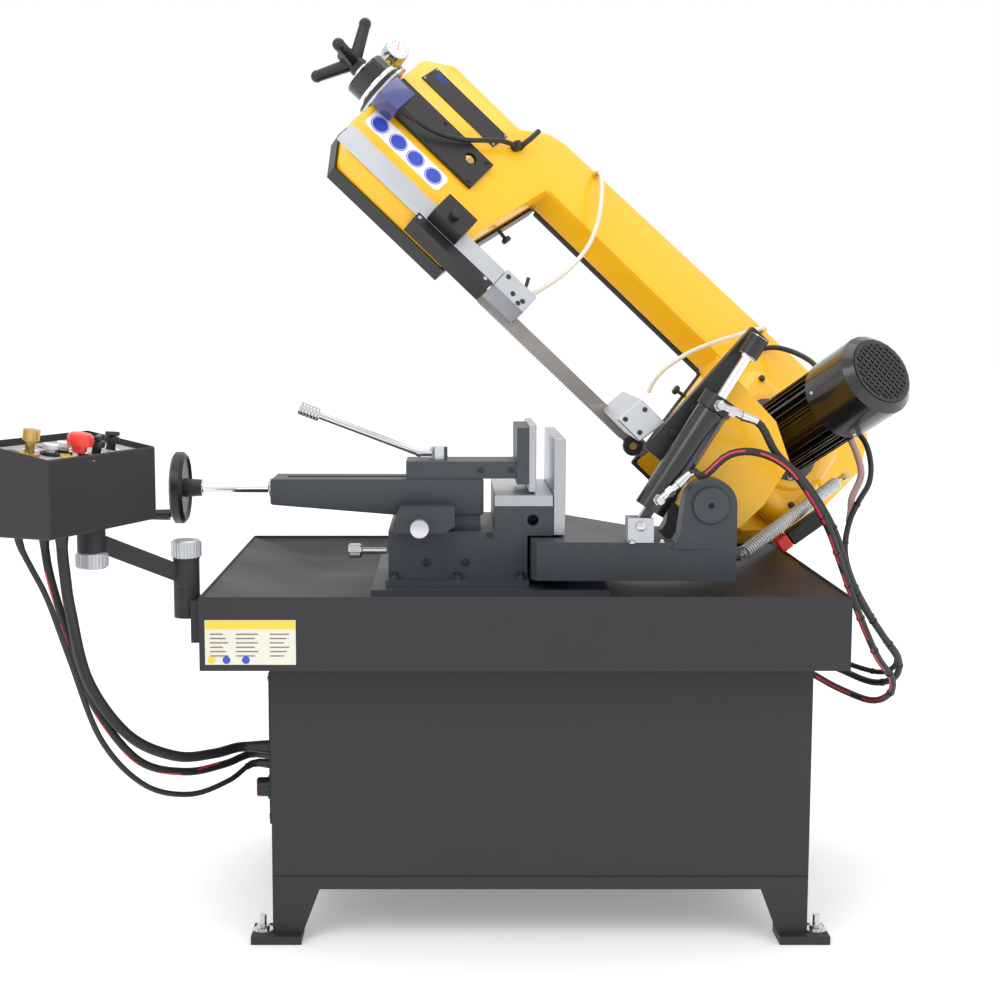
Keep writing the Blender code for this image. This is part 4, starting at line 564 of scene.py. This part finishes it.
# balance spring: a wound wire with straight hooks
low = Vector((0.386, -0.030, 0.588))
high = MACHINE.inverted() @ HEAD @ Vector((0.209, -0.129, 0.177))
along = (high - low).normalized()
side = along.orthogonal().normalized()
other = along.cross(side)
turns, first, last = 50, 0.016, (high - low).length - 0.020
coil = [low]
for i in range(turns * 14 + 1):
    angle = 2 * math.pi * i / 14
    share = i / (turns * 14)
    radius = 0.0104 * min(1.0, share * turns, (1 - share) * turns)
    coil.append(low + along * (first + (last - first) * share)
                + radius * (side * math.cos(angle) + other * math.sin(angle)))
coil.append(high)
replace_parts(line("spring_coil", coil, 0.0020, GALVANISED, "mitre_arm_body", MACHINE, 3),
                    "balance_spring")

# ---------------------------------------------------------------- saw head
trim = [(-0.5895, -0.016), (-0.5815, 0.074), (-0.5475, 0.2625), (-0.0925, 0.2625), (-0.0925, -0.016)]
edge = []
for a, b in zip(trim, trim[1:]):
    edge += [Vector((a[0], 0.0195, a[1])).lerp(Vector((b[0], 0.0195, b[1])), i / 12) for i in range(12)]
edge.append(Vector((trim[-1][0], 0.0195, trim[-1][1])))
line("window_trim", edge, 0.0026, MOULDED, "head", HEAD)

plate = [(-0.8610, 0.2400), (-0.8560, 0.2860), (-0.6720, 0.2860), (-0.6770, 0.2400)]
bm = bmesh.new()
near = [bm.verts.new((x, FRONT - 0.0022, z)) for x, z in plate]
far = [bm.verts.new((x, FRONT + 0.0005, z)) for x, z in plate]
bm.faces.new(near)
bm.faces.new(far)
for k in range(4):
    bm.faces.new((near[k], near[(k + 1) % 4], far[(k + 1) % 4], far[k]))
add("name_plate_blank", to_mesh(bm), GLOSS_BLACK, "head", HEAD, bevel=0.0012)
gather("plate_rivets", lambda bm, x, z: add_lathe(bm, [(0.0022, 0.0), (0.0018, 0.0008)],
                                                  (x, FRONT - 0.0022, z), (0, -1, 0), 16),
       [(-0.8560, 0.2450), (-0.8520, 0.2815), (-0.6760, 0.2815), (-0.6805, 0.2450)], PLATED, "head", HEAD)
gather("plate_lines", lambda bm, z: add_lathe(bm, [(0.0012, 0.0), (0.0012, 0.026)],
                                              (-0.8470, FRONT - 0.0020, z), (1, 0, 0.02), 8),
       [(0.2725,), (0.2775,), (0.2675,)], LABEL_BLUE, "head", HEAD)


def rounded(name, x0, x1, z0, z1, radius, y, thick, finish, body):
    """A plate with round ends, flat on the head's front."""
    bm = bmesh.new()
    outline = []
    for cx, cz, start in ((x1 - radius, z1 - radius, 0), (x0 + radius, z1 - radius, 90),
                          (x0 + radius, z0 + radius, 180), (x1 - radius, z0 + radius, 270)):
        for i in range(7):
            angle = math.radians(start + 15 * i)
            outline.append((cx + radius * math.cos(angle), cz + radius * math.sin(angle)))
    face = bm.faces.new([bm.verts.new((x, y, z)) for x, z in outline])
    out = bmesh.ops.extrude_face_region(bm, geom=[face])["geom"]
    bmesh.ops.translate(bm, vec=(0, -thick, 0), verts=[v for v in out if isinstance(v, bmesh.types.BMVert)])
    return add(name, to_mesh(bm), finish, body, HEAD)


rounded("sign_blank", -0.8700, -0.6900, 0.0600, 0.1045, 0.010, FRONT + 0.0005, 0.0012, LABEL, "head")
for index, x in enumerate((-0.8460, -0.8010, -0.7590, -0.7150)):
    lathe(f"sign_disc_{index}", [(0.0180, 0.0), (0.0180, 0.0005)], (x, FRONT - 0.0006, 0.0823), (0, -1, 0),
          LABEL_BLUE, "head", HEAD, 40)
    lathe(f"sign_ring_{index}", [(0.0166, 0.0), (0.0166, 0.0003)], (x, FRONT - 0.0010, 0.0823), (0, -1, 0),
          LABEL, "head", HEAD, 40)
    lathe(f"sign_core_{index}", [(0.0155, 0.0), (0.0155, 0.0003)], (x, FRONT - 0.0012, 0.0823), (0, -1, 0),
          LABEL_BLUE, "head", HEAD, 40)
gather("slide_screws", socket_screw, [((x, -0.0570, z), (0, -1, 0), 0.0042, 0.0022) for x, z in (
    (-0.7680, 0.1275), (-0.6640, 0.1275), (-0.6640, 0.1920), (-0.7680, 0.1920))], SATIN_BLACK,
    "tension_slide_body", HEAD)
lathe("slide_window_nut", [(0.0095, 0.0), (0.0095, 0.006), (0.0055, 0.007)], (-0.690, FRONT - 0.0008, 0.170),
      (0, -1, 0), BRASS, "tension_slide_body", HEAD, 6)
# limit switch cable, its gland and the small handle above it
cable = [(-0.838, -0.078, 0.118), (-0.818, -0.079, 0.121), (-0.790, -0.074, 0.131), (-0.755, -0.069, 0.152),
         (-0.720, -0.066, 0.186), (-0.695, -0.064, 0.222), (-0.674, -0.062, 0.252), (-0.655, -0.060, 0.268),
         (-0.6480, -0.058, 0.2745)]
line("switch_cable", route_of(cable, 0.006), 0.0046, MOULDED, "head", HEAD)
lathe("switch_cable_relief", [(0.0085, -0.002), (0.0085, 0.010), (0.0060, 0.026), (0.0050, 0.034)],
      (-0.838, -0.078, 0.118), (1, -0.03, 0.10), MOULDED, "tension_slide_body", HEAD, 20)
bm = bmesh.new()
add_lathe(bm, [(0.0095, 0.0), (0.0095, 0.010), (0.0070, 0.018)], (-0.6480, FRONT, 0.2780), (0, -1, 0), 6)
add("cable_gland", to_mesh(bm), MOULDED, "head", HEAD)
line("head_catch", route_of([(-0.640, -0.050, 0.284), (-0.640, -0.064, 0.288), (-0.638, -0.070, 0.300),
                             (-0.637, -0.071, 0.330)], 0.006), 0.0052, MOULDED, "head", HEAD)
for index, (x, z, way) in enumerate(((-0.5506, 0.1516, 1), (-0.1035, 0.1770, -1))):
    lathe(f"cover_knob_{index}", [(0.0035, -0.012), (0.0035, 0.004), (0.0085, 0.006), (0.0095, 0.010),
                                  (0.0085, 0.014), (0.0040, 0.015)],
          (x, 0.012, z), (way, 0, -0.2), MOULDED, "head", HEAD, 20)

# tensioner: bright ring, gauge face, star handle ends
lathe("tension_ring", [(0.0440, 0.0), (0.0448, 0.002), (0.0448, 0.006), (0.0440, 0.008), (0.0400, 0.0083)],
      (-0.9005, TENSIONER_Y, TENSIONER_Z), (-1, 0, 0), CHROME, "head", HEAD, 48)
lathe("tension_flange", [(0.0565, 0.0), (0.0565, 0.0040), (0.0550, 0.0055), (0.0450, 0.0060)],
      (-0.8866, TENSIONER_Y, TENSIONER_Z), (-1, 0, 0), PLATED, "head", HEAD, 48)
lathe("tension_shaft", [(0.0125, -0.002), (0.0125, 0.0086)], (-0.9404, TENSIONER_Y, TENSIONER_Z),
      (-1, 0, 0), CHROME, "head", HEAD, 32)
GAUGE = Vector((-0.9285, -0.025, 0.2485))
lathe("gauge_bezel", [(0.0229, 0.0), (0.0232, 0.004), (0.0232, 0.021), (0.0220, 0.0250), (0.0200, 0.0252)],
      GAUGE, (0, -1, 0), PLATED, "head", HEAD, 40)
lathe("gauge_face", [(0.0198, 0.0), (0.0198, 0.0008)], GAUGE + Vector((0, -0.0248, 0)), (0, -1, 0), LABEL,
      "head", HEAD, 40)
gather("gauge_marks", lambda bm, k: add_lathe(bm, [(0.0005, 0.0), (0.0005, 0.0030)], GAUGE + Vector((
    0.0150 * math.cos(math.radians(225 - 27 * k)), -0.0258, 0.0150 * math.sin(math.radians(225 - 27 * k)))),
    (math.cos(math.radians(225 - 27 * k)), 0, math.sin(math.radians(225 - 27 * k))), 6),
    [(k,) for k in range(11)], INK, "head", HEAD)
gather("gauge_needle", lambda bm: add_lathe(bm, [(0.0009, -0.003), (0.0004, 0.0130)],
       GAUGE + Vector((0, -0.0262, 0)), (-0.5, 0, 0.85), 8), [()], RED, "head", HEAD)
lathe("gauge_stem_brass", [(0.0054, 0.0), (0.0054, 0.020), (0.0080, 0.021), (0.0080, 0.028)],
      (-0.9225, -0.035, 0.2030), (-0.10, 0, 1), BRASS, "head", HEAD, 20)
hub_x = -0.9489
bm = bmesh.new()
for i in range(4):
    angle = math.radians(130) + math.pi / 2 * i
    out = Vector((0.0, math.cos(angle), math.sin(angle)))
    root = Vector((hub_x - 0.014, TENSIONER_Y, TENSIONER_Z))
    tip = root + 0.066 * out + Vector((-0.034, 0, 0))
    way = (tip - root).normalized()
    bmesh.ops.create_uvsphere(bm, u_segments=20, v_segments=12, radius=0.0113,
                              matrix=Matrix.Translation(tip - way * 0.002))
bmesh.ops.create_uvsphere(bm, u_segments=24, v_segments=12, radius=0.0165,
                          matrix=Matrix.Translation((hub_x - 0.030, TENSIONER_Y, TENSIONER_Z)))
add("star_ends", to_mesh(bm), MOULDED, "tension_handle_body", HEAD, smooth=60)

# blade guide screws, lever and fittings
gather("guard_screws", socket_screw, [((x, -0.0603, z), (0, -1, 0), 0.0036, 0.0022)
                                      for x, z in ((-0.6770, -0.0245), (-0.5200, -0.0215))], PLATED,
       "guide_arm_body", HEAD)
gather("block_set_screws", socket_screw, [((x, -0.0580, z), (0, -1, 0), 0.0048, 0.0014) for x, z in (
    (-0.4660, 0.0010), (-0.4440, 0.0040), (-0.4480, -0.0070), (-0.4920, 0.0230))], SATIN_BLACK,
    "guide_arm_body", HEAD)
gather("clamp_screw_face", socket_screw, [((-0.634, -0.1008, 0.005), (0, -1, 0), 0.0090, 0.0030)],
       SATIN_BLACK, "head", HEAD)
line("coolant_lever", route_of([(-0.4560, -0.044, 0.034), (-0.4570, -0.046, 0.046), (-0.4640, -0.050, 0.062)],
                               0.004), 0.0034, MOULDED, "guide_arm_body", HEAD)
gather("upper_fitting", lambda bm, place, way, parts: add_lathe(bm, parts, place, way, 20), [
    ((-0.4405, -0.0290, 0.0360), (0.10, -0.28, 1), [(0.0065, -0.001), (0.0065, 0.010), (0.0048, 0.012),
                                                    (0.0048, 0.020)])], BRASS, "guide_arm_body", HEAD)
gather("tube_fittings", lambda bm, x, z: add_lathe(bm, [(0.0068, -0.001), (0.0068, 0.005), (0.0052, 0.006),
                                                        (0.0052, 0.014)], (x, FRONT, z), (0.1, -1, -0.3), 16),
       [(-0.5025, 0.379), (-0.0625, 0.390)], BRASS, "head", HEAD)

# the blade's teeth between the guides
bm = bmesh.new()
upright = math.radians(BLADE_TWIST)
across = Vector((0.0, math.cos(upright), -math.sin(upright)))
out = Vector((0.0, -math.sin(upright), -math.cos(upright)))
middle = Vector((0.0, 0.0, -0.0006))
tooth = 0.0052
for k in range(int(TOOTHED_LENGTH / tooth)):
    x = -0.5020 + tooth * k
    base = middle + across * HALF_BLADE
    a, b = base + Vector((x, 0, 0)), base + Vector((x + tooth, 0, 0))
    tip = base + across * 0.0026 + Vector((x + tooth * 0.85, 0, 0))
    sides = [[bm.verts.new(p + out * s * 0.0006) for p in (a, b, tip)] for s in (-1, 1)]
    bm.faces.new(sides[0])
    bm.faces.new(sides[1])
    for m in range(3):
        n = (m + 1) % 3
        bm.faces.new((sides[0][m], sides[0][n], sides[1][n], sides[1][m]))
add("blade_teeth", to_mesh(bm), BAND, "head", HEAD, smooth=10)

# gearbox bosses and bolts, motor grille, ribs, cowl rim and screws
AXIS = Vector((DRIVE_X, 0.0, WHEEL_RADIUS))
lathe("gearbox_boss", [(0.0980, 0.0), (0.0980, 0.0010), (0.0940, 0.0100), (0.0868, 0.0108)],
      AXIS + Vector((0, -0.1080, 0)), (0, -1, 0), YELLOW, "head", HEAD, 64)
CORNERS = [(math.cos(math.radians(45 + 90 * k)), math.sin(math.radians(45 + 90 * k))) for k in range(4)]
gather("flange_bolts", ring_bolt, [((AXIS.x + 0.0760 * c, -0.1185, AXIS.z + 0.0760 * s), (0, -1, 0), 0.0060)
                                   for c, s in CORNERS], PLATED, "head", HEAD)
gather("gearbox_bolts", socket_screw, [((x, -0.1078, z), (0, -1, 0), 0.0060, 0.0050) for x, z in (
    (-0.020, 0.052), (0.160, 0.052), (-0.020, 0.232), (0.160, 0.232))], SATIN_BLACK, "head", HEAD)
cowl_end = -0.3996
# painted shade: a near-black disc behind the grille stands for the shaded inside of the cowl
lathe("grille_back_shade", [(0.0500, 0.0), (0.0500, 0.0004)], AXIS + Vector((0, cowl_end, 0)), (0, -1, 0), GAP_SHADE,
      "head", HEAD, 48)
bm = bmesh.new()
for k in range(-5, 6):
    offset = 0.0095 * k
    half = math.sqrt(max(0.0, 0.0510 ** 2 - offset ** 2))
    if half < 0.004:
        continue
    for flat in (True, False):
        size = (2 * half, 0.0026, 0.0026) if flat else (0.0026, 0.0026, 2 * half)
        place = AXIS + Vector((0, cowl_end - 0.0018, offset) if flat else (offset, cowl_end - 0.0018, 0))
        cube = bmesh.ops.create_cube(bm, size=1.0)["verts"]
        bmesh.ops.scale(bm, vec=size, verts=cube)
        bmesh.ops.translate(bm, vec=place, verts=cube)
add("cowl_grille", to_mesh(bm), GLOSS_BLACK, "head", HEAD)
bm = bmesh.new()
for k in range(32):
    angle = 2 * math.pi * k / 32
    out = Vector((math.cos(angle), 0, math.sin(angle)))
    cube = bmesh.ops.create_cube(bm, size=1.0)["verts"]
    turn = Matrix.Rotation(-angle, 4, "Y")
    bmesh.ops.scale(bm, vec=(0.014, 0.150, 0.0022), verts=cube)
    bmesh.ops.transform(bm, matrix=Matrix.Translation(AXIS + out * 0.0630 + Vector((0, -0.214, 0))) @ turn,
                        verts=cube)
add("motor_ribs", to_mesh(bm), GLOSS_BLACK, "head", HEAD, bevel=0.0004)
lathe("cowl_rim", [(0.0560, 0.0), (0.0580, -0.0012), (0.0560, -0.0018), (0.0500, -0.0012)],
      AXIS + Vector((0, cowl_end, 0)), (0, 1, 0), GLOSS_BLACK, "head", HEAD, 64)
gather("cowl_screws", lambda bm, k: add_lathe(bm, [(0.0032, 0.0), (0.0026, 0.0016)], AXIS + Vector((
    0.0730 * math.cos(math.radians(45 + 90 * k)), -0.302, 0.0730 * math.sin(math.radians(45 + 90 * k)))),
    (math.cos(math.radians(45 + 90 * k)), 0, math.sin(math.radians(45 + 90 * k))), 12),
    [(k,) for k in range(4)], PLATED, "head", HEAD)

# cable arc beside the motor, cylinder pin screws, brush bristles
arc = [(-0.0400, FRONT - 0.004, 0.352), (-0.020, FRONT - 0.020, 0.366), (0.012, -0.085, 0.372),
       (0.045, -0.115, 0.352), (0.068, -0.150, 0.300), (0.074, -0.180, 0.262), (0.073, -0.190, 0.2425)]
line("motor_lead", route_of(arc, 0.006), 0.0050, MOULDED, "head", HEAD)
gather("bar_screws", socket_screw, [((x, -0.1508, z), (0, -1, 0), 0.0068, 0.0050) for x, z in (
    (0.2543, 0.8135), (0.2891, 0.8529))], SATIN_BLACK, "head", MACHINE)
gather("guide_screws", socket_screw, [((x, -0.1202, z), (0, -1, 0), 0.0042, 0.0024) for x, z in (
    (0.180, 0.834), (0.204, 0.812), (0.212, 0.850))], SATIN_BLACK, "head", MACHINE)
bm = bmesh.new()
for k in range(110):
    angle = 2 * math.pi * ((k * 0.618034) % 1.0)
    depth = -0.0065 + 0.013 * ((k * 0.7548) % 1.0)
    out = Vector((math.cos(angle), 0.10 * math.sin(7.0 * k), math.sin(angle)))
    add_lathe(bm, [(0.0005, 0.006), (0.0004, 0.0188)], BRUSH + Vector((0, depth, 0)), out, 5)
add("brush_bristles", to_mesh(bm), INK, "chip_brush_body", MACHINE)
lathe("brush_hub", [(0.0065, 0.0082), (0.0065, -0.0082)], BRUSH, (0, 1, 0), BRASS, "chip_brush_body",
      MACHINE, 20)
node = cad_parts["chip_brush"]
node.data.materials.clear()
node.data.materials.append(SATIN_BLACK)

# spring hooks, limit box and the short hose behind the spring
lathe("spring_hook_ring", [(0.0085, -0.004), (0.0085, 0.004)], (0.209, -0.134, 0.177), (0, 1, 0), PLATED,
      "head", HEAD, 24)
add("spring_lower_plate", box_mesh((0.3880, 0.0550, 0.6405), (0.4200, 0.0590, 0.6860)), PLATED,
    "mitre_arm_body", MACHINE, bevel=0.001)
limit = MACHINE @ Matrix.Translation((0.5150, 0.060, 0.6247)) @ Matrix.Rotation(math.radians(-36.0), 4, "Y")
add("limit_box", box_mesh((-0.0260, -0.0160, -0.0130), (0.0500, 0.0160, 0.0130)), MOULDED, "mitre_arm_body",
    limit, bevel=0.003)
add("limit_end", box_mesh((-0.0500, -0.0160, -0.0130), (-0.0265, 0.0160, 0.0130)), RED, "mitre_arm_body",
    limit, bevel=0.003)
hose = route_of([(0.5986, 0.062, 0.7900), (0.6125, 0.062, 0.7591), (0.6190, 0.056, 0.7235),
                 (0.5975, 0.030, 0.6860), (0.5890, 0.002, 0.6680), (0.5800, -0.024, 0.6510)], 0.006)
piece = line("short_hose", hose, 0.0062, PINK, "stand", MACHINE)

# ---------------------------------------------------------------- control station
controls = (("valve", -0.004, -0.125, 0.0115), ("start", 0.006, -0.090, 0.0115),
            ("lamp", 0.004, -0.054, 0.0115), ("stop", 0.036, -0.062, 0.0150),
            ("front", 0.036, -0.018, 0.0115), ("rear", 0.024, 0.036, 0.0115))
for tag, x, y, radius in controls:
    finish = {"valve": BRASS, "start": MOULDED, "lamp": MOULDED, "stop": LABEL_YELLOW}.get(tag, CHROME)
    grow = 0.0125 if tag == "stop" else 0.0030
    lathe(f"{tag}_ring", [(radius + grow, 0.0), (radius + grow, 0.0012 if tag == "stop" else 0.0035),
                          (radius - 0.0015, 0.0014 if tag == "stop" else 0.0048), (radius * 0.70, 0.0015)],
          (x, y, 0.0002), (0, 0, 1), finish, "control_box_body", PANEL, 40)
lathe("stop_base", [(0.0150, 0.0012), (0.0150, 0.0090), (0.0135, 0.0105), (0.0120, 0.0105)],
      (0.036, -0.062, 0.0), (0, 0, 1), CHROME, "control_box_body", PANEL, 40)
lathe("stop_crown", [(0.0186, 0.0195), (0.0195, 0.0240), (0.0190, 0.0320), (0.0150, 0.0362),
                     (0.0080, 0.0378)], (0.036, -0.062, 0.0), (0, 0, 1), RED, "stop_button_body", PANEL, 48)
gather("valve_knurl", lambda bm, k: add_lathe(bm, [(0.0009, 0.0230), (0.0009, 0.0380)], (
    -0.004 + 0.0115 * math.cos(k * math.pi / 16), -0.125 + 0.0115 * math.sin(k * math.pi / 16), 0.0),
    (0, 0, 1), 6), [(k,) for k in range(32)], BRASS, "valve_knob_body", PANEL)
for tag, x, y, turn in (("front", 0.036, -0.018, 20.0), ("rear", 0.024, 0.036, -25.0)):
    matrix = PANEL @ Matrix.Translation((x, y, 0.0)) @ Matrix.Rotation(math.radians(turn), 4, "Z")
    add(f"selector_{tag}_blade", box_mesh((-0.0036, -0.0112, 0.0236), (0.0036, 0.0112, 0.0300)), MOULDED,
        f"selector_{tag}_body", matrix, bevel=0.0014)
    add(f"selector_{tag}_mark", box_mesh((-0.0006, 0.0030, 0.0300), (0.0006, 0.0106, 0.0304)), LABEL,
        f"selector_{tag}_body", matrix)
gather("panel_corner_screws", lambda bm, x, y: add_lathe(bm, [(0.0036, 0.0), (0.0030, 0.0018)], (x, y, 0.0),
                                                         (0, 0, 1), 16),
       [(x, y) for x in (-0.052, 0.052) for y in (-0.158, 0.088)], PLATED, "control_box_body", PANEL)
for index, (x, y) in enumerate(((-0.030, -0.125), (-0.026, -0.090), (-0.028, -0.054), (-0.012, -0.018),
                                (-0.012, 0.036))):
    add(f"panel_tag_{index}", box_mesh((x - 0.012, y - 0.007, 0.0001), (x + 0.010, y + 0.007, 0.0009)),
        LABEL if index % 2 else INK, "control_box_body", PANEL, bevel=0.0003)
knobs = bmesh.new()
for centre, low, high, radius in (((-0.5225, -0.300), 0.6290, 0.6575, 0.0225),
                                  ((-0.654, -0.370), 0.6240, 0.6490, 0.0235)):
    add_lathe(knobs, [(radius - 0.002, low), (radius, low + 0.002), (radius, high - 0.002),
                      (radius - 0.002, high)], (*centre, 0.0), (0, 0, 1), 32)
    for k in range(28):
        angle = 2 * math.pi * k / 28
        add_lathe(knobs, [(0.0014, low + 0.003), (0.0014, high - 0.003)],
                  (centre[0] + radius * math.cos(angle), centre[1] + radius * math.sin(angle), 0.0),
                  (0, 0, 1), 6)
add("arm_knobs", to_mesh(knobs), MILLED, "control_arm_body", MACHINE)

# ---------------------------------------------------------------- stage
plane = bpy.data.meshes.new("floor")
bm = bmesh.new()
bmesh.ops.create_grid(bm, x_segments=1, y_segments=1, size=30.0)
bm.to_mesh(plane)
bm.free()
floor = bpy.data.objects.new("floor", plane)
bpy.context.scene.collection.objects.link(floor)
floor.location = (0.0, 0.0, -0.0005)
floor_finish = bpy.data.materials.new("pale_floor")
floor_finish.use_nodes = True
shader = floor_finish.node_tree.nodes["Principled BSDF"]
shader.inputs["Base Color"].default_value = (0.97, 0.97, 0.97, 1.0)
shader.inputs["Roughness"].default_value = 0.9
shader.inputs["Emission Color"].default_value = (1.0, 1.0, 1.0, 1.0)
shader.inputs["Emission Strength"].default_value = 0.22
plane.materials.append(floor_finish)

world = bpy.data.worlds.new("studio")
bpy.context.scene.world = world
world.use_nodes = True
world.node_tree.nodes["Background"].inputs["Color"].default_value = (1.0, 1.0, 1.0, 1.0)
world.node_tree.nodes["Background"].inputs["Strength"].default_value = 1.0


def area(name, place, target, size, energy):
    light = bpy.data.objects.new(name, bpy.data.lights.new(name, "AREA"))
    bpy.context.scene.collection.objects.link(light)
    light.data.size = size
    light.data.energy = energy
    light.location = place
    light.rotation_euler = (Vector(target) - Vector(place)).to_track_quat("-Z", "Y").to_euler()


area("key", (-2.0, -2.6, 3.4), (0.0, 0.0, 0.7), 2.2, 38)
area("fill", (2.8, -2.4, 2.2), (0.0, 0.0, 0.7), 2.6, 14)
area("top", (0.2, 0.4, 3.8), (0.0, 0.0, 0.6), 2.4, 22)
bpy.context.scene.view_settings.view_transform = "Standard"
